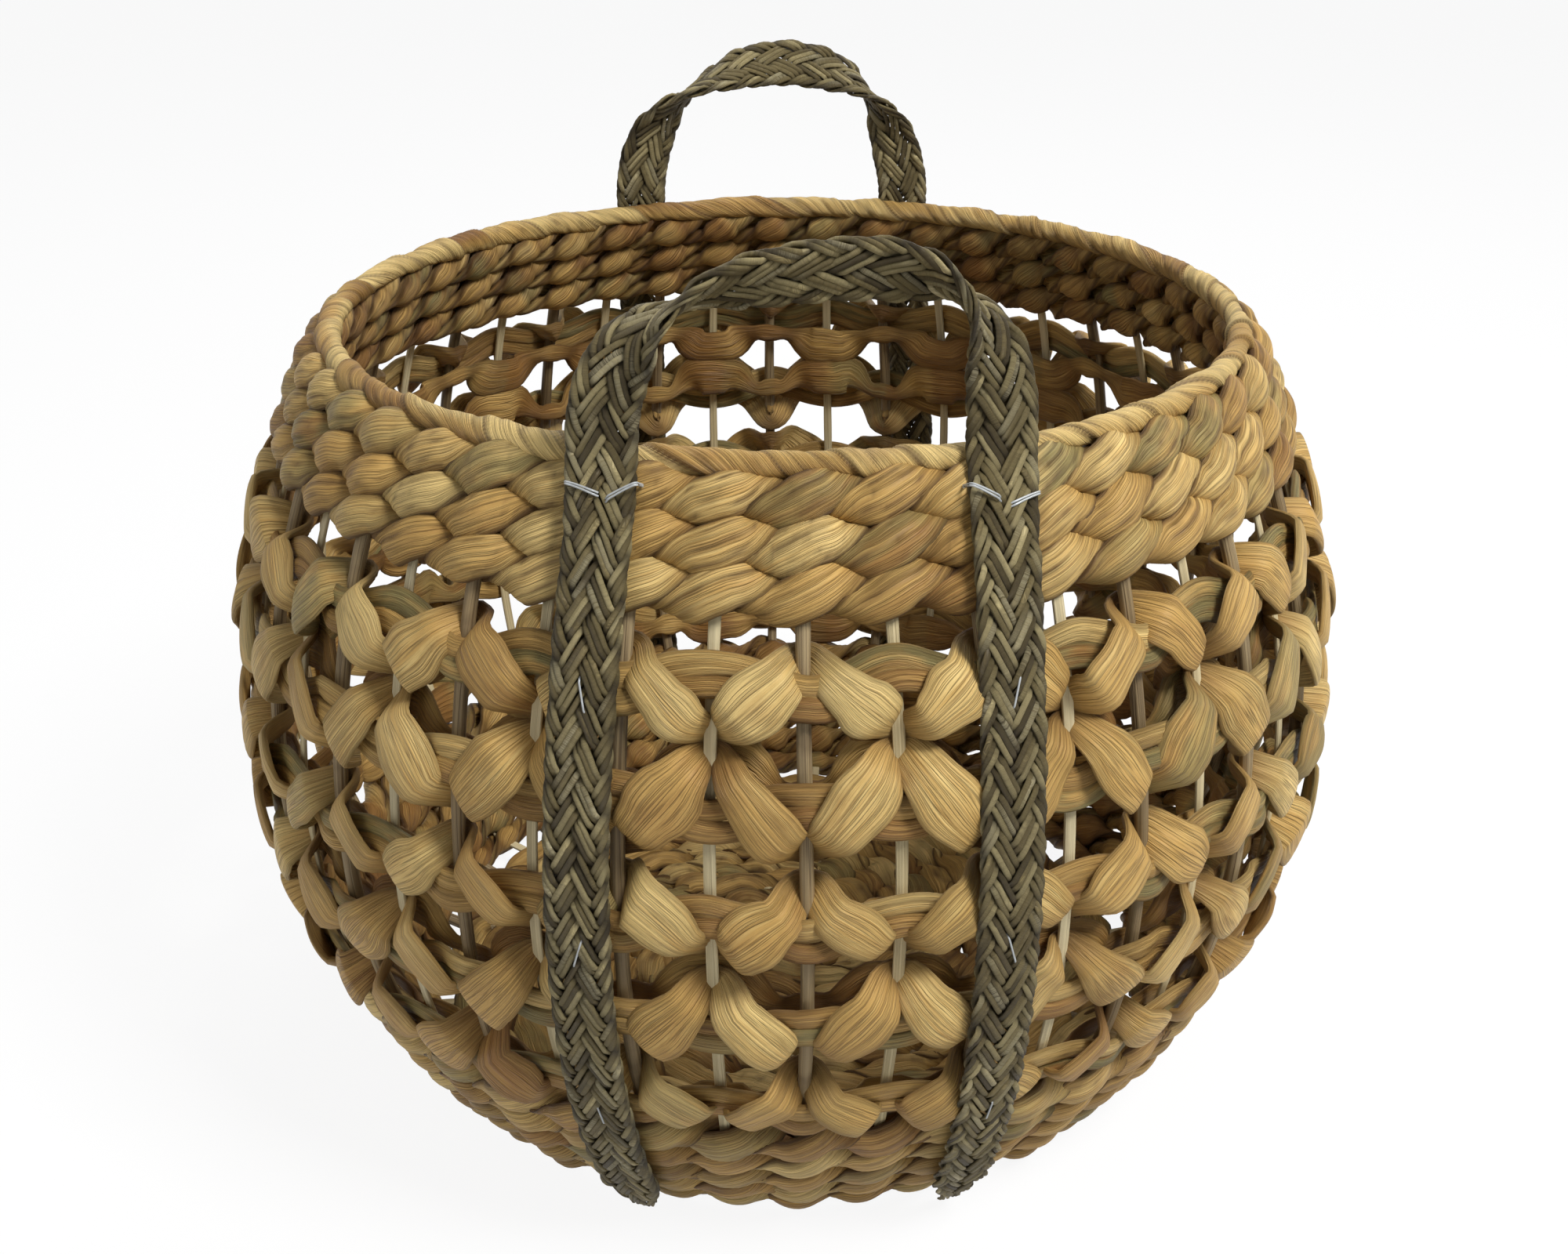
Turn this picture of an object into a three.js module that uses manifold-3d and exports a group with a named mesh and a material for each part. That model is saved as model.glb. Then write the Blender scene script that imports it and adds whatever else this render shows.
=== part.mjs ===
// Round openwork basket of water hyacinth over 44 upright stakes, with two plaited
// strap handles. Millimetres, +Z up, origin at the middle of the underside.
// The front is -Y. A place on the wall is given by its run, the distance along a
// stake up from the base, and its lift, the distance out from the stake's middle.
import * as THREE from 'three';
import Module from 'manifold-3d';

// Wall: the middle line of a stake
const RIM_RADIUS = 175;
const RIM_HEIGHT = 308;
const BELLY_RADIUS = 214;
const BELLY_HEIGHT = 155;
const BASE_RADIUS = 156;

// Stakes
const STAKE_COUNT = 44;
const ROD_DIAMETER = 5.2;
const SPLINT_WIDTH = 4;
const SPLINT_THICKNESS = 1.6;
const ROD_HUB_RADIUS = 27;
const SPLINT_HUB_RADIUS = 23;

// Rim
const HOOP_DIAMETER = 5;
const HOOP_SIDES = 6;
const WRAP_TURNS = 24;
const WRAP_STEPS = 6;
const WRAP_WIDTH = 26;
const WRAP_THICKNESS = 1;
const WRAP_EDGE = 0.4;

// Twined rows under the rim
const TOP_ROWS = 3;
const TOP_PITCH = 14;
const TOP_HEIGHT = 13.4;
const PLY_THICKNESS = 4.6;
const PLY_GAP = 2.4;

// Openwork rows
const OPEN_ROWS = 5;
const OPEN_MARGIN = 27;
const BAR_HEIGHT = 9;
const BAR_THICKNESS = 3;
const PETAL_HEIGHT = 22;
const PETAL_THICKNESS = 2;
const PETAL_RISE = 13;
const PETAL_SHOULDER = 6.2;
const PETAL_TIP = 7.2;
const NECK_HEIGHT = 5.5;
const NECK_THICKNESS = 1.2;
const NECK_SPACE = 3.4;

// Rows round the foot of the wall
const FOOT_ROWS = 5;
const FOOT_PITCH = 15;
const FOOT_FIRST = 11;
const FOOT_HEIGHT = 13;
const FOOT_THICKNESS = 4.6;

// Floor
const UNDER_WEAVE = 2.5;
const TOP_WEAVE = 3;
const FLOOR_RINGS = 4;
const FLOOR_GROOVE = 1.5;

// Strap handles
const STRAP_WIDTH = 23;
const STRAP_THICKNESS = 4.4;
const HANDLE_SPREAD = 124;
const FOOT_SPREAD = 112;
const LEFT_BOW = 15;
const RIGHT_BOW = 7;
const STRAP_FOOT = 18;
const HINGE_NOSE = [80, 45, 0];

// The middle line of each loop from left to right, seen from the loop's own side: how
// far to the side, how high over the hinge, and how many degrees the strap has rolled.
const FRONT_ARCH = [
  [-62, 4, 0],
  [-60.5, 13, 5],
  [-57, 23, 20],
  [-51, 32, 50],
  [-42, 40, 90],
  [-30, 46, 125],
  [-15, 50, 148],
  [3, 52.5, 158],
  [22, 53.5, 160],
  [37, 51, 145],
  [48, 45, 105],
  [56, 35, 55],
  [60, 23, 20],
  [61.5, 12, 5],
  [62, 4, 0],
];
const BACK_ARCH = [
  [-62, 4, 0],
  [-59.5, 16, 8],
  [-55.5, 29, 30],
  [-49, 41, 70],
  [-39, 51, 108],
  [-25, 57, 135],
  [-8, 60, 142],
  [12, 58, 132],
  [32, 50.5, 98],
  [46, 41, 62],
  [55, 29, 28],
  [60, 16, 8],
  [62, 4, 0],
];

// Nylon line that holds the straps
const TIE_DIAMETER = 0.8;
const TIE_RUN = 316;
const TIE_DROP = 6;
const STITCH_RUNS = [255, 169, 97];
const STITCH_LENGTH = 12;

const CLEARANCE = 0.3;

const UP = new THREE.Vector3(0, 0, 1);
const FIBRE = { color: 0xae8d55, roughness: 0.75, metalness: 0 };
const SEAGRASS = { color: 0x8c8264, roughness: 0.8, metalness: 0 };
const BAMBOO = { color: 0xcbbd95, roughness: 0.6, metalness: 0 };
const RATTAN = { color: 0x80704e, roughness: 0.65, metalness: 0 };
const NYLON = { color: 0xe6e6e0, roughness: 0.3, metalness: 0 };

const basket = new THREE.Group();
const wasm = await Module();
wasm.setup();

// Joins sections of equal count into one closed body: a ring, or a bar with two ends.
function loft(sections, isRing) {
  const sides = sections[0].length;
  const points = sections.flat();
  const triangles = [];
  const spans = isRing ? sections.length : sections.length - 1;
  for (let i = 0; i < spans; i += 1) {
    const here = i * sides;
    const next = ((i + 1) % sections.length) * sides;
    for (let j = 0; j < sides; j += 1) {
      const k = (j + 1) % sides;
      triangles.push([here + j, here + k, next + k]);
      triangles.push([here + j, next + k, next + j]);
    }
  }
  if (!isRing) {
    const last = (sections.length - 1) * sides;
    for (let j = 1; j < sides - 1; j += 1) {
      triangles.push([0, j + 1, j]);
      triangles.push([last, last + j, last + j + 1]);
    }
  }
  return faceOutward(points, triangles);
}

// Turns every triangle round when the body they close has a negative volume.
function faceOutward(points, triangles) {
  let volume = 0;
  for (const [a, b, c] of triangles) {
    volume += points[a].dot(new THREE.Vector3().crossVectors(points[b], points[c]));
  }
  const order = volume < 0 ? triangles.map(([a, b, c]) => [a, c, b]) : triangles;
  return { points, triangles: order };
}

// Joins closed bodies that cross into one.
function join(bodies) {
  const solids = bodies.map((body) => {
    const vertProperties = new Float32Array(body.points.flatMap((point) => point.toArray()));
    const triVerts = new Uint32Array(body.triangles.flat());
    return new wasm.Manifold(new wasm.Mesh({ numProp: 3, vertProperties, triVerts }));
  });
  const joined = solids.reduce((all, solid) => all.add(solid)).getMesh();
  const points = [];
  for (let i = 0; i < joined.vertProperties.length; i += joined.numProp) {
    points.push(new THREE.Vector3().fromArray(joined.vertProperties, i));
  }
  const triangles = [];
  for (let i = 0; i < joined.triVerts.length; i += 3) {
    triangles.push([...joined.triVerts.slice(i, i + 3)]);
  }
  return { points, triangles };
}

// Adds one closed body as a named mesh.
function add(name, body, finish) {
  const geometry = new THREE.BufferGeometry().setFromPoints(body.points);
  geometry.setIndex(body.triangles.flat());
  geometry.computeVertexNormals();
  const mesh = new THREE.Mesh(geometry, new THREE.MeshStandardMaterial(finish));
  mesh.name = name;
  basket.add(mesh);
}

// The stake's curve is two arcs that meet upright at the belly.
function arcTo(radius, height) {
  const rise = Math.abs(height - BELLY_HEIGHT);
  const inset = BELLY_RADIUS - radius;
  const bend = (rise * rise + inset * inset) / (2 * inset);
  return { bend, angle: Math.asin(rise / bend) };
}
const lowerArc = arcTo(BASE_RADIUS, 0);
const upperArc = arcTo(RIM_RADIUS, RIM_HEIGHT);
const BELLY_RUN = lowerArc.bend * lowerArc.angle;
const RIM_RUN = BELLY_RUN + upperArc.bend * upperArc.angle;

function onCurve(run) {
  const arc = run < BELLY_RUN ? lowerArc : upperArc;
  const angle = (run - BELLY_RUN) / arc.bend;
  const radius = BELLY_RADIUS - arc.bend * (1 - Math.cos(angle));
  return new THREE.Vector2(radius, BELLY_HEIGHT + arc.bend * Math.sin(angle));
}

// Rows, by their run
const STAKE_RADIUS = ROD_DIAMETER / 2;
const HOOP_RADIUS = HOOP_DIAMETER / 2;
const HOOP_SAG = RIM_RADIUS * (1 - Math.cos(Math.PI / STAKE_COUNT));
const WRAP_INNER = (HOOP_RADIUS + HOOP_SAG + CLEARANCE) / Math.cos(Math.PI / WRAP_STEPS);
const WRAP_OUTER = WRAP_INNER + WRAP_THICKNESS;
const TOP_FIRST = RIM_RUN - WRAP_OUTER - CLEARANCE - TOP_HEIGHT / 2;
const TOP_LAST = TOP_FIRST - (TOP_ROWS - 1) * TOP_PITCH;
const FOOT_LAST = FOOT_FIRST + (FOOT_ROWS - 1) * FOOT_PITCH;
const OPEN_PITCH = (TOP_LAST - FOOT_LAST - 2 * OPEN_MARGIN) / (OPEN_ROWS - 1);

function openRun(row) {
  return TOP_LAST - OPEN_MARGIN - row * OPEN_PITCH;
}

function footRun(row) {
  return FOOT_LAST - row * FOOT_PITCH;
}

// The stakes bend in the spaces between rows, so every row lies on a straight length.
const BENDS = [
  0,
  (footRun(2) + footRun(1)) / 2,
  (openRun(4) + openRun(3)) / 2,
  (openRun(3) + openRun(2)) / 2,
  (openRun(2) + openRun(1)) / 2,
  TOP_LAST - TOP_PITCH,
  RIM_RUN,
];
const bendPoints = BENDS.map(onCurve);

// The straight length that a run falls on, with its direction and its outward normal.
function wallAt(run) {
  let span = 0;
  while (span < BENDS.length - 2 && run > BENDS[span + 1]) {
    span += 1;
  }
  const from = bendPoints[span];
  const to = bendPoints[span + 1];
  const share = (run - BENDS[span]) / (BENDS[span + 1] - BENDS[span]);
  const along = to.clone().sub(from);
  const place = from.clone().addScaledVector(along, share);
  along.normalize();
  return { place, along, normal: new THREE.Vector2(along.y, -along.x) };
}

function turned(radius, height, azimuth) {
  return new THREE.Vector3(radius * Math.cos(azimuth), radius * Math.sin(azimuth), height);
}

// A point of the wall by its run, its lift and its azimuth.
function onWall(run, lift, azimuth) {
  const { place, normal } = wallAt(run);
  return turned(place.x + lift * normal.x, place.y + lift * normal.y, azimuth);
}

const FRONT = -Math.PI / 2;
const STAKE_STEP = (2 * Math.PI) / STAKE_COUNT;

function stakeAzimuth(index) {
  return FRONT + index * STAKE_STEP;
}

// Stakes: round rods and flat splints by turns, a rod at the middle of the front. Each
// runs out from the middle of the floor at its own level, and bends up the wall.
const ROD_LEVEL = UNDER_WEAVE + CLEARANCE + STAKE_RADIUS;
const SPLINT_LEVEL = UNDER_WEAVE + ROD_DIAMETER + CLEARANCE * 2 + SPLINT_THICKNESS / 2;

function stake(index, outline, level, hubRadius) {
  const azimuth = stakeAzimuth(index);
  const across = turned(1, 0, azimuth + Math.PI / 2);
  const foot = wallAt(0);
  const lean = foot.along.x / foot.along.y;
  const line = [
    new THREE.Vector2(hubRadius - ROD_DIAMETER, level),
    new THREE.Vector2(foot.place.x + level * lean, level),
    ...bendPoints.slice(1, -1),
    wallAt(RIM_RUN - WRAP_OUTER - CLEARANCE).place,
  ];
  const sections = line.map((middle, place) => {
    const before = line[Math.max(place - 1, 0)];
    const after = line[Math.min(place + 1, line.length - 1)];
    const arriving = middle.clone().sub(before).normalize();
    const leaving = after.clone().sub(middle).normalize();
    const along = arriving.clone().add(leaving).normalize();
    const stretch = 1 / Math.max(along.dot(arriving), along.dot(leaving));
    return outline.map(([side, lift]) => {
      const radius = middle.x + lift * stretch * along.y;
      const height = middle.y - lift * stretch * along.x;
      return turned(radius, height, azimuth).addScaledVector(across, side);
    });
  });
  return loft(sections, false);
}

// The middle of the floor, where the stakes of one kind meet.
function hub(firstIndex, radius, level, thickness) {
  const sections = [-thickness / 2, thickness / 2].map((lift) => {
    const section = [];
    for (let index = firstIndex + 1; index < STAKE_COUNT + 1; index += 2) {
      section.push(turned(radius, level + lift, stakeAzimuth(index)));
    }
    return section;
  });
  return loft(sections, false);
}

const rodOutline = [0, 1, 2, 3].map((corner) => {
  const angle = (corner * Math.PI) / 2;
  return [STAKE_RADIUS * Math.cos(angle), STAKE_RADIUS * Math.sin(angle)];
});
const splintSide = SPLINT_WIDTH / 2;
const splintLift = SPLINT_THICKNESS / 2;
const splintOutline = [
  [-splintSide, -splintLift],
  [splintSide, -splintLift],
  [splintSide, splintLift],
  [-splintSide, splintLift],
];
const rods = [hub(0, ROD_HUB_RADIUS, ROD_LEVEL, STAKE_RADIUS)];
const splints = [hub(1, SPLINT_HUB_RADIUS, SPLINT_LEVEL, SPLINT_THICKNESS / 2)];
for (let index = 0; index < STAKE_COUNT; index += 2) {
  rods.push(stake(index, rodOutline, ROD_LEVEL, ROD_HUB_RADIUS));
  splints.push(stake(index + 1, splintOutline, SPLINT_LEVEL, SPLINT_HUB_RADIUS));
}
add('round_stakes', join(rods), RATTAN);
add('flat_stakes', join(splints), BAMBOO);

// Rim hoop, with a strip wound round it.
const hoopSections = [];
for (let index = 0; index < STAKE_COUNT; index += 1) {
  const section = [];
  for (let side = 0; side < HOOP_SIDES; side += 1) {
    const angle = (side * 2 * Math.PI) / HOOP_SIDES;
    const radius = RIM_RADIUS + HOOP_RADIUS * Math.cos(angle);
    section.push(turned(radius, RIM_HEIGHT + HOOP_RADIUS * Math.sin(angle), stakeAzimuth(index)));
  }
  hoopSections.push(section);
}
add('rim_hoop', loft(hoopSections, true), RATTAN);

const wrapSections = [];
const wrapSide = WRAP_WIDTH / 2 / RIM_RADIUS;
for (let step = 0; step < WRAP_TURNS * WRAP_STEPS; step += 1) {
  const turn = (step * 2 * Math.PI) / WRAP_STEPS;
  const azimuth = FRONT + turn / WRAP_TURNS;
  const corners = [
    [-wrapSide, WRAP_INNER],
    [0, WRAP_INNER],
    [wrapSide, WRAP_INNER],
    [wrapSide, WRAP_INNER + WRAP_EDGE],
    [0, WRAP_OUTER],
    [-wrapSide, WRAP_INNER + WRAP_EDGE],
  ];
  wrapSections.push(corners.map(([side, reach]) => {
    const radius = RIM_RADIUS + reach * Math.cos(turn);
    return turned(radius, RIM_HEIGHT + reach * Math.sin(turn), azimuth + side);
  }));
}

// The least distance between points of one turn and those of the turns beside it.
function leastGap(sections, stepsInTurn) {
  let least = Infinity;
  sections.forEach((section, step) => {
    for (let ahead = stepsInTurn; ahead <= sections.length / 2; ahead += 1) {
      const other = sections[(step + ahead) % sections.length];
      for (const point of section) {
        least = Math.min(least, ...other.map((far) => far.distanceTo(point)));
      }
    }
  });
  return least;
}
console.log(`Rim wrap: least gap between turns ${leastGap(wrapSections, WRAP_STEPS).toFixed(1)} mm`);
add('rim_wrap', loft(wrapSections, true), FIBRE);

// Twined rows: two plies change places in each space between stakes, so one passes
// outside and the other inside every stake. Seen from outside, each ply climbs to the
// right: it comes from under the other one, crosses a stake and goes over the other.
function twinedPly(run, phase) {
  const near = STAKE_RADIUS + CLEARANCE * 4;
  const far = near + PLY_THICKNESS;
  const high = TOP_HEIGHT / 2;
  const low = PLY_GAP / 2;
  const middle = (high + low) / 2;
  const half = PLY_THICKNESS / 2;
  const outside = [[near, -high], [near, high], [far, 0]];
  const over = [[-half, low], [-half, high], [half, middle]];
  const inside = [[-far, -high], [-far, high], [-near, 0]];
  const under = [[-half, -high], [-half, -low], [half, -middle]];
  const round = [outside, over, inside, under];
  const sections = [];
  for (let step = 0; step < STAKE_COUNT * 2; step += 1) {
    const azimuth = FRONT + (step * STAKE_STEP) / 2;
    const shape = round[(step + phase) % round.length];
    sections.push(shape.map(([lift, rise]) => onWall(run + rise, lift, azimuth)));
  }
  return loft(sections, true);
}
for (let row = 0; row < TOP_ROWS; row += 1) {
  const run = TOP_FIRST - row * TOP_PITCH;
  add(`top_row_${row + 1}_first_ply`, twinedPly(run, 0), FIBRE);
  add(`top_row_${row + 1}_second_ply`, twinedPly(run, 2), FIBRE);
}

// Openwork rows: a level bar lies outside the stakes, and a second strand goes up and
// down, behind each stake and over the bar in each space, where it spreads to a petal.
function levelRing(run, height, thickness) {
  const sections = [];
  const base = STAKE_RADIUS + CLEARANCE * 2;
  for (let index = 0; index < STAKE_COUNT; index += 1) {
    const azimuth = stakeAzimuth(index);
    sections.push([
      onWall(run - height / 2, base, azimuth),
      onWall(run + height / 2, base, azimuth),
      onWall(run, base + thickness, azimuth),
    ]);
  }
  return loft(sections, true);
}

const PETAL_LIFT = STAKE_RADIUS + BAR_THICKNESS + CLEARANCE * 3;
const NECK_LIFT = -(STAKE_RADIUS + NECK_SPACE + NECK_THICKNESS);

function petalSection(run, azimuth, height, lift, thickness) {
  return [
    onWall(run - height / 2, lift, azimuth),
    onWall(run + height / 2, lift, azimuth),
    onWall(run, lift + thickness, azimuth),
  ];
}

function petalStrand(run, firstSide) {
  const shoulder = PETAL_SHOULDER / wallAt(run).place.x;
  const share = 1 - (2 * shoulder) / STAKE_STEP;
  const sections = [];
  for (let index = 0; index < STAKE_COUNT; index += 1) {
    const rise = (index % 2 === 0 ? firstSide : -firstSide) * PETAL_RISE;
    const slope = rise * share;
    const here = stakeAzimuth(index);
    const next = stakeAzimuth(index + 1);
    const middle = (here + next) / 2;
    sections.push(
      petalSection(run + rise, here, NECK_HEIGHT, NECK_LIFT, NECK_THICKNESS),
      petalSection(run + slope, here + shoulder, PETAL_TIP, PETAL_LIFT, PETAL_THICKNESS),
      petalSection(run, middle, PETAL_HEIGHT, PETAL_LIFT, PETAL_THICKNESS),
      petalSection(run - slope, next - shoulder, PETAL_TIP, PETAL_LIFT, PETAL_THICKNESS),
    );
  }
  return loft(sections, true);
}
for (let row = 0; row < OPEN_ROWS; row += 1) {
  const run = openRun(row);
  const firstSide = row % 2 === 0 ? 1 : -1;
  add(`openwork_bar_${row + 1}`, levelRing(run, BAR_HEIGHT, BAR_THICKNESS), FIBRE);
  add(`openwork_petals_${row + 1}`, petalStrand(run, firstSide), FIBRE);
}

// Rows round the foot: plain rings, close together.
for (let row = 0; row < FOOT_ROWS; row += 1) {
  add(`foot_row_${row + 1}`, levelRing(footRun(row), FOOT_HEIGHT, FOOT_THICKNESS), FIBRE);
}

// Floor: rings of weave under the stakes, flat to stand on, and over them, where the
// edge slopes with the stakes that rise past it.
function wovenDisc(name, bottom, top, edgeBottom, edgeTop, rings) {
  const outline = [[0, bottom], [edgeBottom, bottom], [edgeTop, top]];
  for (let half = 2 * rings - 1; half > 0; half -= 1) {
    const radius = (edgeTop * half) / (2 * rings);
    outline.push([radius, half % 2 === 1 ? top - FLOOR_GROOVE : top]);
  }
  outline.push([0, top]);
  const profile = outline.map(([radius, height]) => new THREE.Vector2(radius, height));
  const disc = new THREE.Mesh(
    new THREE.LatheGeometry(profile, STAKE_COUNT),
    new THREE.MeshStandardMaterial(FIBRE),
  );
  disc.name = name;
  disc.rotation.x = Math.PI / 2;
  basket.add(disc);
}

function insideStakes(height) {
  const { place, along, normal } = wallAt(0);
  const inset = (STAKE_RADIUS + CLEARANCE) / normal.x;
  return place.x + (height * along.x) / along.y - inset;
}
const WEAVE_BOTTOM = SPLINT_LEVEL + SPLINT_THICKNESS / 2 + CLEARANCE;
const FLOOR_TOP = WEAVE_BOTTOM + TOP_WEAVE;
wovenDisc('floor_under_weave', 0, UNDER_WEAVE, BASE_RADIUS, BASE_RADIUS, 0);
wovenDisc(
  'floor_top_weave',
  WEAVE_BOTTOM,
  FLOOR_TOP,
  insideStakes(WEAVE_BOTTOM),
  insideStakes(FLOOR_TOP),
  FLOOR_RINGS,
);

// Straps: a ribbon is lofted from a middle point, a width direction and a face normal.
function ribbonSection(middle, across, out, thickness) {
  const half = STRAP_WIDTH / 2;
  const thick = thickness / 2;
  return [[-half, -thick], [half, -thick], [half, thick], [-half, thick]].map(([side, lift]) => (
    middle.clone().addScaledVector(across, side).addScaledVector(out, lift)
  ));
}

const STRAP_LIFT = PETAL_LIFT + PETAL_THICKNESS + CLEARANCE * 2 + STRAP_THICKNESS / 2;
const HINGE_HEIGHT = RIM_HEIGHT + WRAP_OUTER + STRAP_THICKNESS / 2 + CLEARANCE * 2;
const HINGE_RADIUS = RIM_RADIUS + WRAP_OUTER + CLEARANCE * 2 + STRAP_THICKNESS / 2;
const HINGE_DEPTH = Math.sqrt(HINGE_RADIUS ** 2 - (HANDLE_SPREAD / 2) ** 2);

// A leg's middle at a run. It bows out over the belly of the wall, one leg more than the
// other, and draws in a little at the base.
function legAzimuth(side, run) {
  const share = 1 - run / RIM_RUN;
  const down = Math.max(1 - run / TOP_FIRST, 0);
  const bow = (side < 0 ? LEFT_BOW : RIGHT_BOW) * Math.sin(Math.PI * down);
  const x = side * ((HANDLE_SPREAD + (FOOT_SPREAD - HANDLE_SPREAD) * share) / 2 + bow);
  const { place, normal } = wallAt(run);
  return -Math.acos(x / (place.x + STRAP_LIFT * normal.x));
}

function strapLeg(side) {
  const runs = [TOP_FIRST, ...BENDS.slice(1, -1).reverse(), STRAP_FOOT];
  const end = HINGE_HEIGHT - STRAP_THICKNESS / 2 - CLEARANCE;
  const top = new THREE.Vector3((side * HANDLE_SPREAD) / 2, -HINGE_DEPTH, end);
  const level = new THREE.Vector3(1, 0, 0);
  const sections = [ribbonSection(top, level, new THREE.Vector3(0, -1, 0), STRAP_THICKNESS)];
  for (const run of runs) {
    const azimuth = legAzimuth(side, run);
    const { normal } = wallAt(run);
    const out = turned(normal.x, normal.y, azimuth);
    const tangent = turned(1, 0, azimuth + Math.PI / 2);
    const middle = onWall(run, STRAP_LIFT, azimuth);
    sections.push(ribbonSection(middle, tangent, out, STRAP_THICKNESS));
  }
  return loft(sections, false);
}

const OVER_STRAP = STRAP_LIFT + STRAP_THICKNESS / 2 + CLEARANCE;

// A tie is a clear line that crosses a strap in a shallow V, its two ends at the weave.
function tie(side) {
  const azimuth = legAzimuth(side, TIE_RUN);
  const tangent = turned(1, 0, azimuth + Math.PI / 2);
  const beside = STRAP_WIDTH / 2 + CLEARANCE;
  const end = STRAP_LIFT - STRAP_THICKNESS / 2;
  const half = TIE_DIAMETER / 2;
  const stations = [
    { hand: -1, lift: end, turns: 0, run: TIE_RUN },
    { hand: -1, lift: OVER_STRAP, turns: 1, run: TIE_RUN },
    { hand: 0, lift: OVER_STRAP, turns: 1, run: TIE_RUN - TIE_DROP },
    { hand: 1, lift: OVER_STRAP, turns: 1, run: TIE_RUN },
    { hand: 1, lift: end, turns: 0, run: TIE_RUN },
  ];
  const sections = stations.map(({ hand, lift, turns, run }) => {
    const corners = [[0, -half], [0, half], [TIE_DIAMETER, half], [TIE_DIAMETER, -half]];
    return corners.map(([reach, rise]) => (
      onWall(run + rise, lift + reach * turns, azimuth)
        .addScaledVector(tangent, hand * (beside + reach))
    ));
  });
  return loft(sections, false);
}

// A stitch is a short length of the same line that shows along the middle of a strap.
function stitch(side, run) {
  const half = TIE_DIAMETER / 2;
  const sections = [-STITCH_LENGTH / 2, STITCH_LENGTH / 2].map((rise) => {
    const azimuth = legAzimuth(side, run + rise);
    const tangent = turned(1, 0, azimuth + Math.PI / 2);
    const corners = [[-half, 0], [half, 0], [half, TIE_DIAMETER], [-half, TIE_DIAMETER]];
    return corners.map(([reach, lift]) => (
      onWall(run + rise, OVER_STRAP + lift, azimuth).addScaledVector(tangent, reach)
    ));
  });
  return loft(sections, false);
}

// The loop stands over the rim from a rounded nose at each hinge. It rolls over on its
// way up, so its back shows on top.
function strapLoop(arch) {
  const noses = HINGE_NOSE.map((degrees) => {
    const angle = THREE.MathUtils.degToRad(degrees);
    const drop = (Math.sin(angle) * STRAP_THICKNESS) / 2;
    return { z: -drop, roll: 0, thickness: STRAP_THICKNESS * Math.cos(angle) };
  });
  const places = [
    ...noses.map((nose) => ({ ...nose, x: -HANDLE_SPREAD / 2 })),
    ...arch.map(([x, z, roll]) => ({ x, z, roll, thickness: STRAP_THICKNESS })),
    ...noses.reverse().map((nose) => ({ ...nose, x: HANDLE_SPREAD / 2 })),
  ];
  const sections = places.map(({ x, z, roll, thickness }, index) => {
    const before = places[Math.max(index - 1, 0)];
    const after = places[Math.min(index + 1, places.length - 1)];
    const forward = new THREE.Vector3(after.x - before.x, 0, after.z - before.z).normalize();
    const level = new THREE.Vector3(0, -1, 0);
    const outward = new THREE.Vector3().crossVectors(level, forward);
    const turn = THREE.MathUtils.degToRad(roll);
    const face = level.multiplyScalar(Math.cos(turn)).addScaledVector(outward, Math.sin(turn));
    const across = new THREE.Vector3().crossVectors(face, forward);
    const middle = new THREE.Vector3(x, -HINGE_DEPTH, HINGE_HEIGHT + z);
    return ribbonSection(middle, across, face, thickness);
  });
  return loft(sections, false);
}

// The back handle is built like the front one and turned half round.
function halfTurn(body) {
  const points = body.points.map((point) => point.clone().applyAxisAngle(UP, Math.PI));
  return { points, triangles: body.triangles };
}
for (const [hand, side] of [['left', -1], ['right', 1]]) {
  const leg = strapLeg(side);
  const opposite = hand === 'left' ? 'right' : 'left';
  add(`front_handle_${hand}_leg`, leg, SEAGRASS);
  add(`back_handle_${opposite}_leg`, halfTurn(leg), SEAGRASS);
  add(`front_${hand}_tie`, tie(side), NYLON);
  add(`back_${opposite}_tie`, halfTurn(tie(side)), NYLON);
  STITCH_RUNS.forEach((run, place) => {
    add(`front_${hand}_stitch_${place + 1}`, stitch(side, run), NYLON);
    add(`back_${opposite}_stitch_${place + 1}`, halfTurn(stitch(side, run)), NYLON);
  });
}
add('front_handle_loop', strapLoop(FRONT_ARCH), SEAGRASS);
add('back_handle_loop', halfTurn(strapLoop(BACK_ARCH)), SEAGRASS);

export default basket;
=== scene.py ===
# A round openwork basket of water hyacinth, woven over cane and bamboo stakes, with a
# wrapped rim and two handles of plaited seagrass. Metres, front at -Y.
import math

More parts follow.
